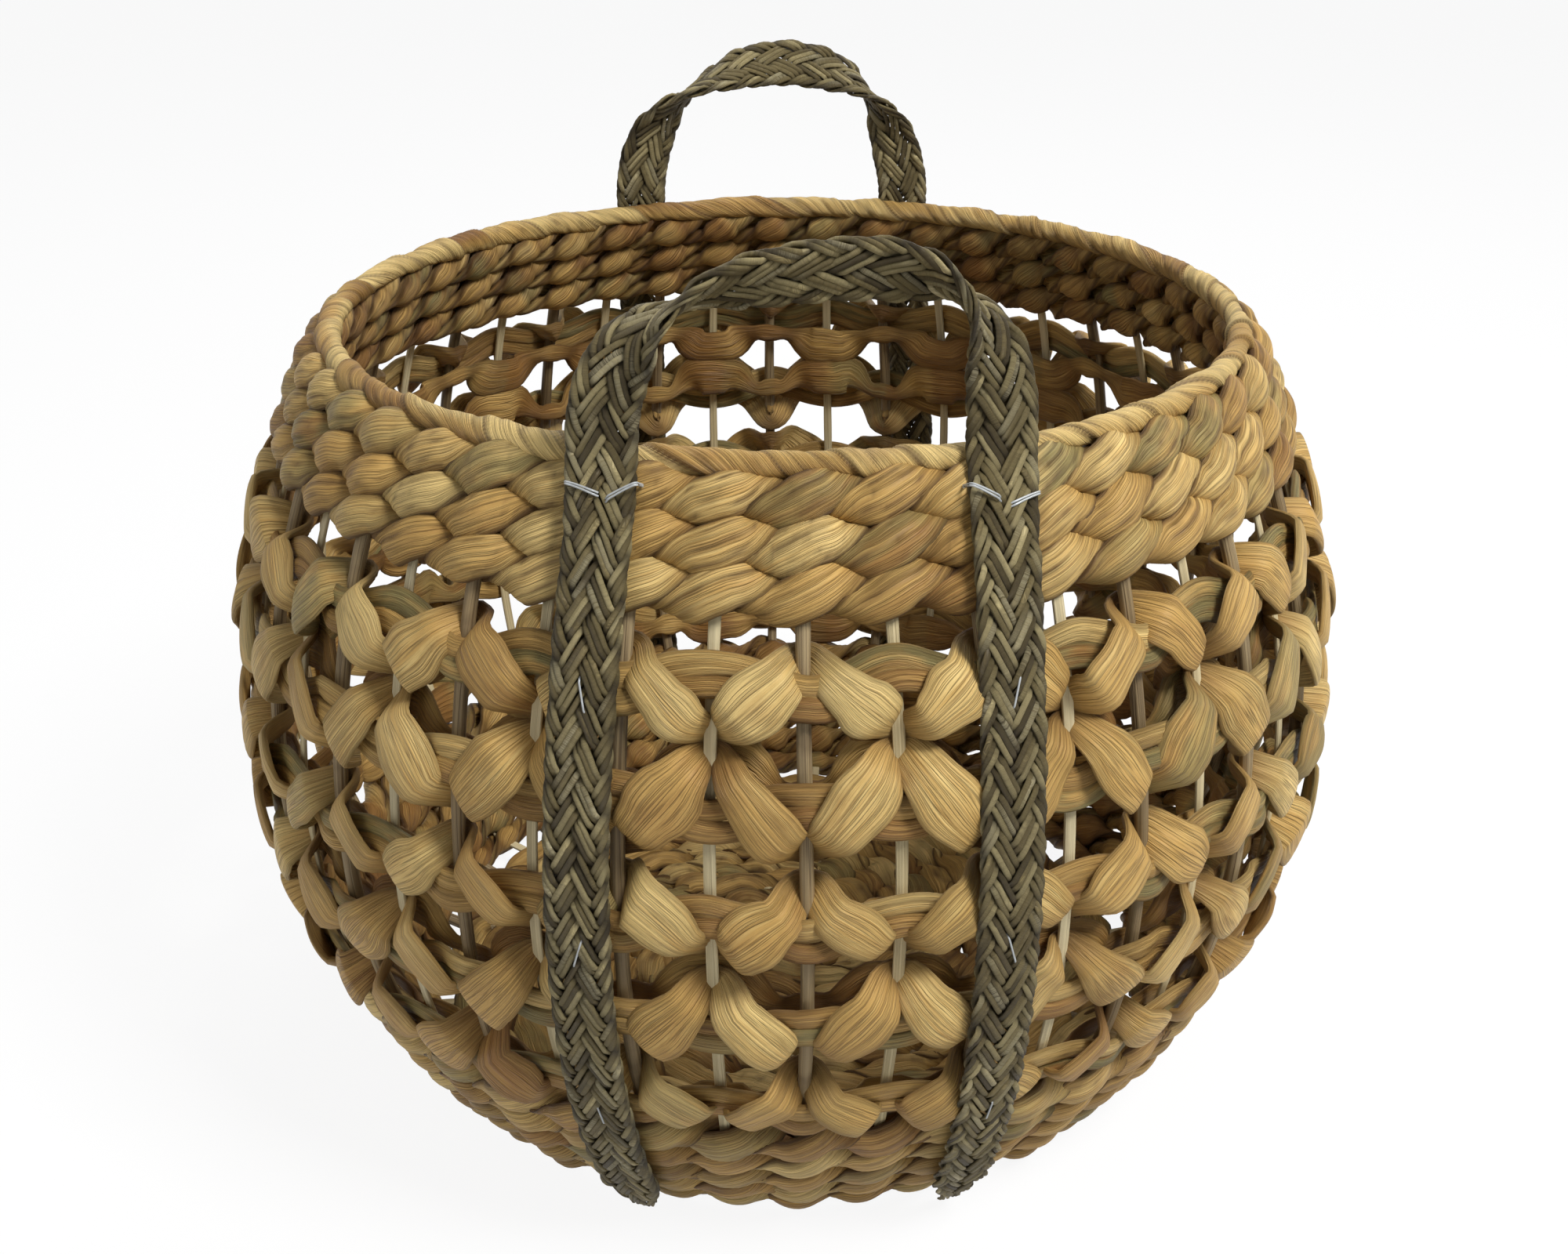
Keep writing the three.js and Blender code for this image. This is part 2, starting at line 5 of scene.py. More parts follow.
import bpy
import numpy as np
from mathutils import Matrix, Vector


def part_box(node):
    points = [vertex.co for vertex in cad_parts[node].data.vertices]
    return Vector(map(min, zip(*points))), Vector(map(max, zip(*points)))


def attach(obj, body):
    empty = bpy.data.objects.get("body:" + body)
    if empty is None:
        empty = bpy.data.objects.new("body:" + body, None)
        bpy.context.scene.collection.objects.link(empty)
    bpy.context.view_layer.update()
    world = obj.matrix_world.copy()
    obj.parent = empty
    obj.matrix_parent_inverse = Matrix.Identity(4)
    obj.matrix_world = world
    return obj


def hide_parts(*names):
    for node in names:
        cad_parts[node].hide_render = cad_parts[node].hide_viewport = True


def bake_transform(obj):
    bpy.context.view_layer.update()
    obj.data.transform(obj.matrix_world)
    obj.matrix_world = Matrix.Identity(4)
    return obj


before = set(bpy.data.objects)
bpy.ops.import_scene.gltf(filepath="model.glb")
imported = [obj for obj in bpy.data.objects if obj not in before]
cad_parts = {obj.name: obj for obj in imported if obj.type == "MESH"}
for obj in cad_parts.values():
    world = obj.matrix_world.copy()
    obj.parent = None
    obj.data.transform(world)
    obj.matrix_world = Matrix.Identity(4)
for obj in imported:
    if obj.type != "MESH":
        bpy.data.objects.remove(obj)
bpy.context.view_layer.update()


# Stakes. Round canes and flat splints of bamboo stand by turns round the wall. Each one
# crosses the floor from the middle, bends up at the edge and ends under the rim.
MM = 0.001
hoop_low, hoop_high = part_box("rim_hoop")
hoop_radius = 2.5 * MM
rim_radius = hoop_high[0] - hoop_radius
rim_height = (hoop_low[2] + hoop_high[2]) / 2
belly_radius = 214 * MM
belly_height = 155 * MM
base_radius = 156 * MM
stake_count = 44
stake_step = 2 * math.pi / stake_count
front = -math.pi / 2
# Every ring starts and ends behind the left leg of the front handle.
seam = front - 2 * stake_step


def arc_to(radius, height):
    """Bend radius and angle of a stake's arc from the belly to a radius and height."""
    rise = abs(height - belly_height)
    inset = belly_radius - radius
    bend = (rise * rise + inset * inset) / (2 * inset)
    return bend, math.asin(rise / bend)


lower_bend, lower_angle = arc_to(base_radius, 0)
upper_bend, upper_angle = arc_to(rim_radius, rim_height)
belly_run = lower_bend * lower_angle
rim_run = belly_run + upper_bend * upper_angle


def on_wall(azimuth, run, lift):
    """Points of the wall: run is the way up a stake, lift is outward from its middle."""
    azimuth, run, lift = np.broadcast_arrays(azimuth, run, lift)
    bend = np.where(run < belly_run, lower_bend, upper_bend)
    angle = (run - belly_run) / bend
    radius = belly_radius - bend * (1 - np.cos(angle)) + lift * np.cos(angle)
    height = belly_height + bend * np.sin(angle) + lift * np.sin(angle)
    return np.stack([radius * np.cos(azimuth), radius * np.sin(azimuth), height], -1)


def unit(vectors):
    """Vectors at length one."""
    return vectors / np.linalg.norm(vectors, axis=-1, keepdims=True)


def square_to(vectors, along):
    """Vectors with their part along a direction taken away, at length one."""
    return unit(vectors - (vectors * along).sum(-1, keepdims=True) * along)


def placed(name, data):
    """A new object in the scene, at the origin."""
    piece = bpy.data.objects.new(name, data)
    bpy.context.collection.objects.link(piece)
    return piece


def keep_marks(mesh, marks):
    """Store marks on the points of a mesh: directions, sizes and colour marks."""
    for mark, values in marks.items():
        values = np.concatenate(values).astype(np.float32)
        kind, part = ("FLOAT_VECTOR", "vector") if values.ndim == 2 else ("FLOAT", "value")
        mesh.attributes.new(mark, kind, "POINT").data.foreach_set(part, values.reshape(-1))


def line_object(name, lines):
    """Lines of points that carry the way they face, their size and their colour marks."""
    points, edges = [], []
    marks = {mark: [] for mark in ("facing", "size", "tone", "green", "fold")}
    for line in lines:
        start = len(points)
        count = len(line["points"])
        points.extend(line["points"].tolist())
        edges.extend((start + k, start + k + 1) for k in range(count - 1))
        if line.get("closed"):
            edges.append((start + count - 1, start))
        marks["facing"].append(line["facing"])
        for mark, plain in (("size", 1), ("tone", 0.4), ("green", 0), ("fold", 0)):
            marks[mark].append(np.broadcast_to(line.get(mark, plain), (count,)))
    mesh = bpy.data.meshes.new(name)
    mesh.from_pydata(points, edges, [])
    keep_marks(mesh, marks)
    return placed(name, mesh)


def add_node(tree, kind, inputs=None, **settings):
    """A new node of a tree, with its settings made and its inputs set or linked."""
    node = tree.nodes.new(kind)
    for key, value in settings.items():
        setattr(node, key, value)
    for key, value in (inputs or {}).items():
        if isinstance(value, bpy.types.NodeSocket):
            tree.links.new(value, node.inputs[key])
        else:
            node.inputs[key].default_value = value
    return node


def maths(tree, operation, *values):
    """The outcome of one sum on numbers and sockets."""
    return add_node(tree, "ShaderNodeMath", dict(enumerate(values)), operation=operation).outputs[0]


def sweep_tree():
    """Nodes that give each line a section, with a UV map in metres along it."""
    tree = bpy.data.node_groups.new("sweep_line", "GeometryNodeTree")
    face = tree.interface
    face.new_socket("Geometry", in_out="INPUT", socket_type="NodeSocketGeometry")
    face.new_socket("Geometry", in_out="OUTPUT", socket_type="NodeSocketGeometry")
    for name, kind in (
        ("Width", "Float"), ("Thickness", "Float"), ("Squareness", "Float"),
        ("Sides", "Int"), ("Material", "Material"),
    ):
        face.new_socket(name, in_out="INPUT", socket_type="NodeSocket" + kind)
    links = tree.links
    given = tree.nodes.new("NodeGroupInput").outputs
    result = tree.nodes.new("NodeGroupOutput")

    def mark(name, kind="FLOAT"):
        named = add_node(tree, "GeometryNodeInputNamedAttribute", {"Name": name}, data_type=kind)
        return named.outputs[0]

    def kept_as(name, geometry, value, **settings):
        stored = add_node(
            tree, "GeometryNodeStoreNamedAttribute", {"Geometry": geometry, "Name": name}, **settings,
        )
        links.new(value, stored.inputs["Value"])
        return stored.outputs[0]

    line = add_node(tree, "GeometryNodeMeshToCurve", {0: given["Geometry"]})
    turned = add_node(tree, "GeometryNodeSetCurveNormal", {"Curve": line.outputs[0]}, mode="FREE")
    links.new(mark("facing", "FLOAT_VECTOR"), turned.inputs["Normal"])
    place = tree.nodes.new("GeometryNodeSplineParameter").outputs
    lengths = kept_as("way", turned.outputs[0], place["Length"])
    ring = add_node(
        tree, "GeometryNodeCurvePrimitiveCircle", {"Resolution": given["Sides"], "Radius": 1},
    )
    girth = kept_as("girth", ring.outputs[0], place["Factor"])
    spot = tree.nodes.new("GeometryNodeInputPosition").outputs[0]
    spot = add_node(tree, "ShaderNodeSeparateXYZ", {0: spot}).outputs

    def side(value, size):
        shaped = maths(tree, "POWER", maths(tree, "ABSOLUTE", value), given["Squareness"])
        signed = maths(tree, "MULTIPLY", maths(tree, "SIGN", value), shaped)
        return maths(tree, "MULTIPLY", signed, maths(tree, "MULTIPLY", size, 0.5))

    corner = add_node(tree, "ShaderNodeCombineXYZ", {
        "X": side(spot["X"], given["Thickness"]), "Y": side(spot["Y"], given["Width"]),
    })
    outline = add_node(
        tree, "GeometryNodeSetPosition", {"Geometry": girth, "Position": corner.outputs[0]},
    )
    body = add_node(tree, "GeometryNodeCurveToMesh", {
        "Curve": lengths, "Profile Curve": outline.outputs[0], "Fill Caps": True,
    })
    links.new(mark("size"), body.inputs["Scale"])
    half_girth = maths(tree, "ADD", given["Width"], given["Thickness"])
    across = maths(tree, "MULTIPLY", maths(tree, "MULTIPLY", mark("girth"), half_girth), 2)
    # Each strand takes its grain from a place of its own, set by its tone.
    grain_shift = 7.3
    shifted = maths(tree, "MULTIPLY_ADD", mark("tone"), grain_shift, across)
    flat = add_node(tree, "ShaderNodeCombineXYZ", {"X": shifted, "Y": mark("way")})
    mapped = kept_as(
        "strand", body.outputs[0], flat.outputs[0], data_type="FLOAT2", domain="CORNER",
    )
    smooth = add_node(tree, "GeometryNodeSetShadeSmooth", {0: mapped})
    real = add_node(tree, "GeometryNodeRealizeInstances", {0: smooth.outputs[0]})
    dressed = add_node(tree, "GeometryNodeSetMaterial", {
        "Geometry": real.outputs[0], "Material": given["Material"],
    })
    links.new(dressed.outputs[0], result.inputs[0])
    return tree


sweep_line = sweep_tree()


def swept(name, lines, **sizes):
    """A plain mesh made by the sweep nodes from lines of points, round unless told not."""
    sizes = {"squareness": 1, "thickness": sizes["width"], **sizes}
    source = line_object(name + "_line", lines)
    modifier = source.modifiers.new("sweep", "NODES")
    modifier.node_group = sweep_line
    for item in sweep_line.interface.items_tree:
        if item.in_out == "INPUT" and item.name.lower() in sizes:
            modifier[item.identifier] = sizes[item.name.lower()]
    depsgraph = bpy.context.evaluated_depsgraph_get()
    mesh = bpy.data.meshes.new_from_object(source.evaluated_get(depsgraph), depsgraph=depsgraph)
    bpy.data.objects.remove(source)
    mesh.name = name
    return placed(name, mesh)


def grain_tree():
    """Fibre grain: streaks, threads and patches along a strand, read from its UV map."""
    tree = bpy.data.node_groups.new("fibre_grain", "ShaderNodeTree")
    face = tree.interface
    for name in ("Fineness", "Length"):
        face.new_socket(name, in_out="INPUT", socket_type="NodeSocketFloat").default_value = 1
    given = tree.nodes.new("NodeGroupInput").outputs
    result = tree.nodes.new("NodeGroupOutput")
    strand = add_node(tree, "ShaderNodeUVMap", uv_map="strand").outputs[0]
    scale = add_node(tree, "ShaderNodeCombineXYZ", {
        "X": given["Fineness"], "Y": maths(tree, "DIVIDE", 1, given["Length"]),
    })

    def stretched(vector, size):
        return add_node(tree, "ShaderNodeVectorMath", {0: vector, 1: size}, operation="MULTIPLY").outputs[0]

    place = stretched(strand, scale.outputs[0])
    # Waves of each noise in a metre across the strand and along it, and its octaves.
    for name, across, along, octaves in (
        ("Streaks", 1100, 24, 2), ("Threads", 3200, 60, 2),
        ("Patches", 110, 40, 2), ("Creases", 900, 16, 1),
    ):
        face.new_socket(name, in_out="OUTPUT", socket_type="NodeSocketFloat")
        noise = add_node(tree, "ShaderNodeTexNoise", {
            "Vector": stretched(place, (across, along, 1)), "Scale": 1, "Detail": octaves, "Roughness": 0.6,
        })
        value = noise.outputs["Fac"]
        if name == "Creases":
            # A thin line wherever the noise passes its middle value.
            distance = maths(tree, "ABSOLUTE", maths(tree, "SUBTRACT", value, 0.5))
            line = add_node(
                tree, "ShaderNodeMapRange", {"Value": distance, "From Min": 0.05, "From Max": 0},
            )
            value = line.outputs["Result"]
        tree.links.new(value, result.inputs[name])
    return tree


fibre_grain = grain_tree()


# The darkest colour goes to dark threads, to stains unless told otherwise, and to painted shade in folds and
# creases.
def plant_material(name, dark, mid, light, grain_and_shade, **look):
    """Material of a dry plant fibre: streaked along the strand, with painted shade in its folds."""
    material = bpy.data.materials.new(name)
    material.use_nodes = True
    tree = material.node_tree
    shader = tree.nodes["Principled BSDF"]
    grain = add_node(tree, "ShaderNodeGroup", node_tree=fibre_grain)
    grain.inputs["Fineness"].default_value = look.get("fineness", 1)
    grain.inputs["Length"].default_value = look.get("length", 1)
    grain = grain.outputs

    def mark(attribute):
        return add_node(tree, "ShaderNodeAttribute", attribute_name=attribute).outputs["Fac"]

    def combine(operation, *values):
        return maths(tree, operation, *values)

    def blend(factor, first, second):
        first, second = ((*value, 1) if isinstance(value, tuple) else value for value in (first, second))
        return add_node(tree, "ShaderNodeMix", {0: factor, 6: first, 7: second}, data_type="RGBA").outputs[2]

    def ramp(value, low, high):
        inputs = {"Value": value, "From Min": low, "From Max": high}
        ranged = add_node(tree, "ShaderNodeMapRange", inputs, interpolation_type="SMOOTHSTEP")
        return ranged.outputs["Result"]

    place = tree.nodes.new("ShaderNodeTexCoord").outputs["Object"]
    blot = add_node(tree, "ShaderNodeTexNoise", {
        "Vector": place, "Scale": look.get("blot_scale", 30), "Detail": 3,
    })

    # Streaks and patches play round the tone that the strand carries, from dark to light.
    streak = 0.8
    patch = 0.5
    tone = combine("MULTIPLY_ADD", grain["Streaks"], streak, mark("tone"))
    tone = combine("MULTIPLY_ADD", grain["Patches"], patch, tone)
    tone = combine("SUBTRACT", tone, (patch + streak) / 2)
    colour = blend(ramp(tone, 0.0, 0.5), dark, mid)
    colour = blend(ramp(tone, 0.45, 0.95), colour, light)
    stain = combine("MULTIPLY", ramp(blot.outputs["Fac"], 0.56, 0.74), look.get("stain", 0.5))
    colour = blend(stain, colour, look.get("stain_colour", grain_and_shade))
    green = combine("MULTIPLY", mark("green"), ramp(grain["Patches"], 0.3, 0.6))
    colour = blend(green, colour, look.get("green_colour", mid))
    thread = combine("MULTIPLY", ramp(grain["Threads"], 0.5, 0.3), 0.4)
    # Thin crease lines are sunk by the bump and painted dark as shade in fine wrinkles.
    crease = combine("MULTIPLY", grain["Creases"], look.get("crease", 0.7))
    # This mark paints shade into the folds, dips, sides and laps of the strands.
    fold = combine("MULTIPLY", mark("fold"), look.get("fold", 0.75))
    colour = blend(combine("MAXIMUM", combine("MAXIMUM", fold, thread), crease), colour, grain_and_shade)
    streak_roughness = 0.3
    thread_height = 0.3
    crease_height = -0.5
    rough = combine("MULTIPLY_ADD", grain["Streaks"], streak_roughness, look.get("roughness", 0.45))
    height = combine("MULTIPLY_ADD", grain["Threads"], thread_height, grain["Streaks"])
    height = combine("MULTIPLY_ADD", grain["Creases"], crease_height, height)
    bump = add_node(tree, "ShaderNodeBump", {
        "Strength": look.get("bump", 0.8), "Distance": look.get("bump_depth", 1.2) * MM, "Height": height,
    })
    shader.inputs["Specular IOR Level"].default_value = 0.35
    for socket, value in (("Base Color", colour), ("Roughness", rough), ("Normal", bump.outputs["Normal"])):
        tree.links.new(value, shader.inputs[socket])
    return material


cane = plant_material(
    "cane", (0.14, 0.10, 0.045), (0.30, 0.215, 0.11), (0.47, 0.37, 0.21), (0.07, 0.04, 0.018),
    blot_scale=60, fineness=0.4, length=3, roughness=0.4, bump=0.4,
)
bamboo = plant_material(
    "split_bamboo", (0.50, 0.39, 0.20), (0.70, 0.59, 0.35), (0.86, 0.77, 0.52), (0.34, 0.25, 0.12),
    fineness=0.8, length=9, stain=0.1, roughness=0.35, crease=0.4, bump=0.5,
)

spoke_level = {"round": 5.4 * MM, "flat": 9.1 * MM}
spoke_start = {"round": 17 * MM, "flat": 13 * MM}
spoke_end = base_radius - 8 * MM
stake_bottom = 16 * MM
stake_top = rim_run - 5 * MM
stake_sway = 0.7 * MM
cane_width = 5.2 * MM
splint_width = 4.2 * MM
splint_thickness = 1.6 * MM


def stake(index, kind):
    """The line of one stake, from the middle of the floor, up the wall and to the rim."""
    draw = np.random.default_rng(100 + index)
    azimuth = front + index * stake_step
    runs = np.linspace(stake_bottom, stake_top, 60)
    heading = np.array([math.cos(azimuth), math.sin(azimuth), 0])
    reach = np.linspace(spoke_start[kind], spoke_end, 12)
    spoke = reach[:, None] * heading + np.array([0, 0, spoke_level[kind]])
    sway = stake_sway * np.sin(runs * draw.uniform(18, 30) + draw.uniform(0, 6))
    points = np.concatenate([spoke, on_wall(azimuth + sway / belly_radius, runs, 0)])
    along = unit(np.gradient(points, axis=0))
    side = np.array([-math.sin(azimuth), math.cos(azimuth), 0])
    facing = unit(np.cross(side, along))
    knots = 1 + 0.03 * np.sin(np.arange(len(points)) * draw.uniform(0.5, 0.9))
    return {
        "points": points, "facing": facing, "size": knots * draw.uniform(0.92, 1),
        "tone": draw.uniform(0.1, 0.7), "green": draw.uniform(0, 0.4),
    }


rods = [stake(index, "round") for index in range(0, stake_count, 2)]
splints = [stake(index, "flat") for index in range(1, stake_count, 2)]
round_stakes = swept("round_stakes_cane", rods, width=cane_width, sides=12, material=cane)
flat_stakes = swept(
    "flat_stakes_bamboo", splints, width=splint_width, thickness=splint_thickness,
    squareness=0.45, sides=16, material=bamboo,
)
for piece, node_name, finish in (
    (round_stakes, "round_stakes", "rattan"), (flat_stakes, "flat_stakes", "bamboo"),
):
    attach(piece, "root")
    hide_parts(node_name)


# Floor. Soft stalks of water hyacinth are twined in rings under and over the spokes. In
# twining, two plies change places between spokes, so one is over and one is under each.
def smooth_step(value, low, high):
    """Zero below low, one above high, and a smooth rise between them."""
    share = np.clip((value - low) / (high - low), 0, 1)
    return share * share * (3 - 2 * share)


def ring_noise(draw, count, least, most):
    """Smooth closed noise from minus one to one, with waves between two counts a round."""
    turn = np.arange(count) / count * 2 * math.pi
    waves = draw.integers(least, most + 1, 10)
    total = sum(np.sin(wave * turn + draw.uniform(0, 6.3)) for wave in waves)
    return np.clip(total / 3, -1, 1)


def lobe_values(draw, s, low, high):
    """One value for each lobe, held along it and changed where the next one begins."""
    lobes = int(round(s[-1]))
    values = draw.uniform(low, high, lobes)
    lobe = np.floor(s + 0.5).astype(int) % lobes
    share = smooth_step(s + 0.5 - np.floor(s + 0.5), 0.86, 1)
    return values[lobe] * (1 - share) + values[(lobe + 1) % lobes] * share


stalk_girth = 36 * MM
strand_shift = 0.137
full_furrow = 0.55 * MM


def ring_heading(points):
    """The way that a closed line of points runs, at each of them."""
    return unit(np.roll(points, -1, axis=0) - np.roll(points, 1, axis=0))


def stalk(
    points, facing, half_width, half_thick, sides, seed, ridges, depth,
    edge=1, dip_shade=0, cup=0, side_shade=0.4, **marks,
):
    """A soft flattened stalk along a closed line: its rings of points and colour marks.

    ridges bounds the number of folds round it and depth is how deep they are. edge shapes
    its sides, cup bends them back, and two more values paint shade into its dips and along
    its sides.
    """
    heading = ring_heading(points)
    out = square_to(facing, heading)
    side = np.cross(heading, out)
    draw = np.random.default_rng(seed)
    count = len(points)
    theta = np.arange(sides) / sides * 2 * math.pi - math.pi / 2
    across = np.sign(np.cos(theta)) * np.abs(np.cos(theta)) ** 0.85
    up = np.sign(np.sin(theta)) * np.abs(np.sin(theta)) ** edge
    turn = np.arange(count) / count * 2 * math.pi
    crease = np.zeros((count, sides))
    # Three sets of long furrows drift round the stalk and come and go along it.
    for waves in draw.choice(np.arange(*ridges), 3, replace=False):
        drift = sum(
            draw.normal(0, 0.5) * np.sin(turns * turn + draw.uniform(0, 6.3))
            for turns in draw.integers(1, max(3, count // 12), 5)
        )
        force = 0.6 + 0.4 * ring_noise(draw, count, max(2, count // 60), max(3, count // 25))
        valley = 1 - np.abs(np.cos((waves * theta + draw.uniform(0, 6.3) + drift[:, None]) / 2))
        crease -= force[:, None] * valley ** 2
    depth, dip_shade, cup = (np.broadcast_to(value, (count,))[:, None] for value in (depth, dip_shade, cup))
    lift = depth * (crease + 0.3)
    x = across * (half_width[:, None] + lift * 0.4)
    y = up * (half_thick[:, None] + lift) - cup * across ** 2
    rings = points[:, None] + x[..., None] * side[:, None] + y[..., None] * out[:, None]
    # Painted shade darkens the stalk in its furrows, in its dips and along its sides.
    fold = np.clip(-crease * 1.1 - 0.3, 0, 1) * np.clip(depth / full_furrow, 0, 1)
    fold = np.maximum(fold, dip_shade)
    marks["fold"] = np.maximum(fold, side_shade * smooth_step(np.abs(across), 0.76, 0.99))
    steps = np.linalg.norm(np.diff(points, axis=0, append=points[:1]), axis=-1)
    along = np.concatenate([[0], np.cumsum(steps)])
    return {"rings": rings, "along": along, "girth": stalk_girth, "marks": marks}


def built(name, strands, material):
    """One mesh from closed stalks, with a UV map in metres along them and their marks."""
    points, faces, uvs, marks = [], [], [], {}
    first = 0
    for number, strand in enumerate(strands):
        count, sides = strand["rings"].shape[:2]
        points.append(strand["rings"].reshape(-1, 3))
        i, j = np.meshgrid(np.arange(count), np.arange(sides), indexing="ij")
        after, beside = (i + 1) % count, (j + 1) % sides
        quads = np.stack([i * sides + j, i * sides + beside, after * sides + beside, after * sides + j], -1)
        faces.extend((quads.reshape(-1, 4) + first).tolist())
        v0, v1 = strand["along"][i], strand["along"][i + 1]
        u0 = j / sides * strand["girth"] + number * strand_shift
        u1 = u0 + strand["girth"] / sides
        uvs.append(np.stack([u0, v0, u1, v0, u1, v1, u0, v1], -1).reshape(-1))
        for mark, values in strand["marks"].items():
            values = np.asarray(values, float)
            values = values[:, None] if values.ndim == 1 else values
            marks.setdefault(mark, []).append(np.broadcast_to(values, (count, sides)).reshape(-1))
        first += count * sides
    mesh = bpy.data.meshes.new(name)
    mesh.from_pydata(np.concatenate(points).tolist(), [], faces)
    layer = mesh.uv_layers.new(name="strand")
    layer.data.foreach_set("uv", np.concatenate(uvs).astype(np.float32))
    keep_marks(mesh, marks)
    mesh.materials.append(material)
    mesh.shade_smooth()
    return placed(name, mesh)


# The legs of the handles lie on the weave and press it in, so their places come here.
half_spread = 62 * MM
half_foot = 56 * MM
left_bow = 15 * MM
right_bow = 7 * MM
leg_top_run = 317 * MM
leg_foot_run = 18 * MM
pressed_half = 11 * MM
free_half = 19 * MM


def leg_side(side_sign, run):
    """How far the middle of a leg is from the middle of its side at a run up the wall."""
    bow = np.where(side_sign < 0, left_bow, right_bow)
    bow = bow * np.sin(math.pi * np.maximum(1 - run / leg_top_run, 0))
    return half_spread + (half_foot - half_spread) * (1 - run / rim_run) + bow


def under_strap(points, run):
    """One under the legs of the two handles and zero away from them and on the floor."""
    side_sign = np.sign(points[:, 0]) * -np.sign(points[:, 1])
    beside = np.abs(np.abs(points[:, 0]) - leg_side(side_sign, run))
    return (1 - smooth_step(beside, pressed_half, free_half)) * (run > leg_foot_run - 10 * MM)


ply_stray = 0.7 * MM
ply_bulge = 0.3 * MM
ply_press = 1.3 * MM
ply_cup = 0.8 * MM


def twined(place, seed, crossings, per_lobe, sides, half_width, half_thick, reach, ridges, depth, run):
    """Two plies that turn round each other and pass on both sides of every stake.

    half_width and half_thick are the ply's at its fullest and where it is tucked in, and
    reach is how far the plies turn in and out and up and down.
    """
    count = crossings * per_lobe
    s = np.arange(count) / per_lobe
    azimuth = seam + s * 2 * math.pi / crossings
    base = place(azimuth, 0, 0)
    outward = unit(place(azimuth, 0, MM) - base)
    upward = unit(place(azimuth, MM, 0) - base)
    pressed = under_strap(base, run)
    strands = []
    for ply in (0, 1):
        draw = np.random.default_rng(seed * 10 + ply)
        # From minus one to one between two passes inside; the lobe lies flat round zero.
        x = (s + ply + 1) % 2 - 1
        turn = math.pi * (s + ply)
        roll = math.pi * np.sign(x) * smooth_step(np.abs(x), 0.2, 1)
        inner = smooth_step(np.abs(x), 0.6, 0.9)
        full = np.maximum(np.cos(math.pi / 2 * np.minimum(np.abs(x) / 0.95, 1)), 0.85 * inner)
        half = (s + ply) / 2
        swell = 1 + 0.1 * lobe_values(draw, half, -1, 1)
        swell = swell + 0.05 * ring_noise(draw, count, crossings, 3 * crossings)
        width = half_width[1] + (half_width[0] - half_width[1]) * full * swell
        thick = half_thick[1] + (half_thick[0] - half_thick[1]) * full
        thick = thick * (1 + 0.07 * lobe_values(draw, half, -1, 1))
        at_rod = (0.5 + 0.5 * np.cos(math.pi * s)) ** 2
        far = reach[0] * (0.84 + 0.16 * at_rod)
        rise = reach[1] * np.sin(turn) + ply_stray * ring_noise(draw, count, 8, crossings + 6)
        lift = far * np.cos(turn) + ply_bulge * lobe_values(draw, half, -1, 1)
        lift = lift - ply_press * pressed * np.maximum(np.cos(turn), 0)
        points = place(azimuth, rise, lift)
        roll = roll + 0.15 * lobe_values(draw, half, -1, 1) * full
        facing = np.cos(roll)[:, None] * outward + np.sin(roll)[:, None] * upward
        tone = 0.55 + 0.15 * ring_noise(draw, count, 2, 9) + lobe_values(draw, half, -0.3, 0.3)
        # Painted shade darkens the ply where it dips and is tucked in, on its inner lobes and along its
        # sides.
        tone = tone - 0.5 * (1 - full) ** 1.5 - 0.25 * inner
        green = np.clip(lobe_values(draw, half, -1.8, 1), 0, 1)
        strands.append(stalk(
            points, facing, width, thick, sides, seed * 10 + ply, ridges, depth,
            edge=1.15, dip_shade=1.1 * (1 - full) ** 1.6, cup=ply_cup * full, side_shade=0.92,
            tone=tone, green=green,
        ))
    return strands


hyacinth = plant_material(
    "water_hyacinth",
    (0.33, 0.165, 0.042), (0.625, 0.382, 0.113), (0.87, 0.63, 0.245), (0.075, 0.030, 0.008),
    stain=0.35, stain_colour=(0.24, 0.09, 0.02), green_colour=(0.31, 0.25, 0.09),
    fineness=1.45, roughness=0.42, fold=0.9, crease=0.45,
)
ring_level = 7.2 * MM
inner_ring_rise = 1.4 * MM
first_ring = 9 * MM
ring_pitch = 13.5 * MM
ring_crossings = (4, 6, 10, 10, 22, 22, 22, 22, 22, 22, 22)
floor_rings = []
for ring, crossings in enumerate(ring_crossings):
    ring_radius = first_ring + ring * ring_pitch

    def on_floor(azimuth, rise, lift):
        azimuth, rise, lift = np.broadcast_arrays(azimuth, rise, lift)
        radius = ring_radius + rise
        level = ring_level + inner_ring_rise * (ring < 4)
        around = azimuth + stake_step
        return np.stack([radius * np.cos(around), radius * np.sin(around), level + lift], -1)

    floor_rings += twined(
        on_floor, 40 + ring, crossings, per_lobe=16, sides=14,
        half_width=(7.6 * MM, 3.6 * MM), half_thick=(2.6 * MM, 2.8 * MM),
        reach=(3.7 * MM, 2.8 * MM), ridges=(3, 7), depth=0.5 * MM, run=0,
    )
floor_weave = built("floor_twined_rings", floor_rings, hyacinth)
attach(floor_weave, "root")
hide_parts("floor_under_weave", "floor_top_weave")


# Foot rows. Five more twined rows climb the foot of the wall, close together, and turn
# the flat floor into the side.
foot_run = 71 * MM
foot_pitch = 15 * MM
# From the top one down, in millimetres: half width full and tucked in, way up and down,
# and how far the row stands over its even place.
foot_rows = (
    (9.4, 3.6, 4.2, 0), (8.2, 3.4, 3.6, 0), (8.2, 3.4, 3.6, 0), (8.8, 3.8, 3.6, 0),
    (5.8, 3.2, 1.8, 2.4),
)


def on_row(azimuth, rise, lift):
    """Points of the wall, with the rise counted from the middle of the row in hand."""
    return on_wall(azimuth, row_run + rise, lift)


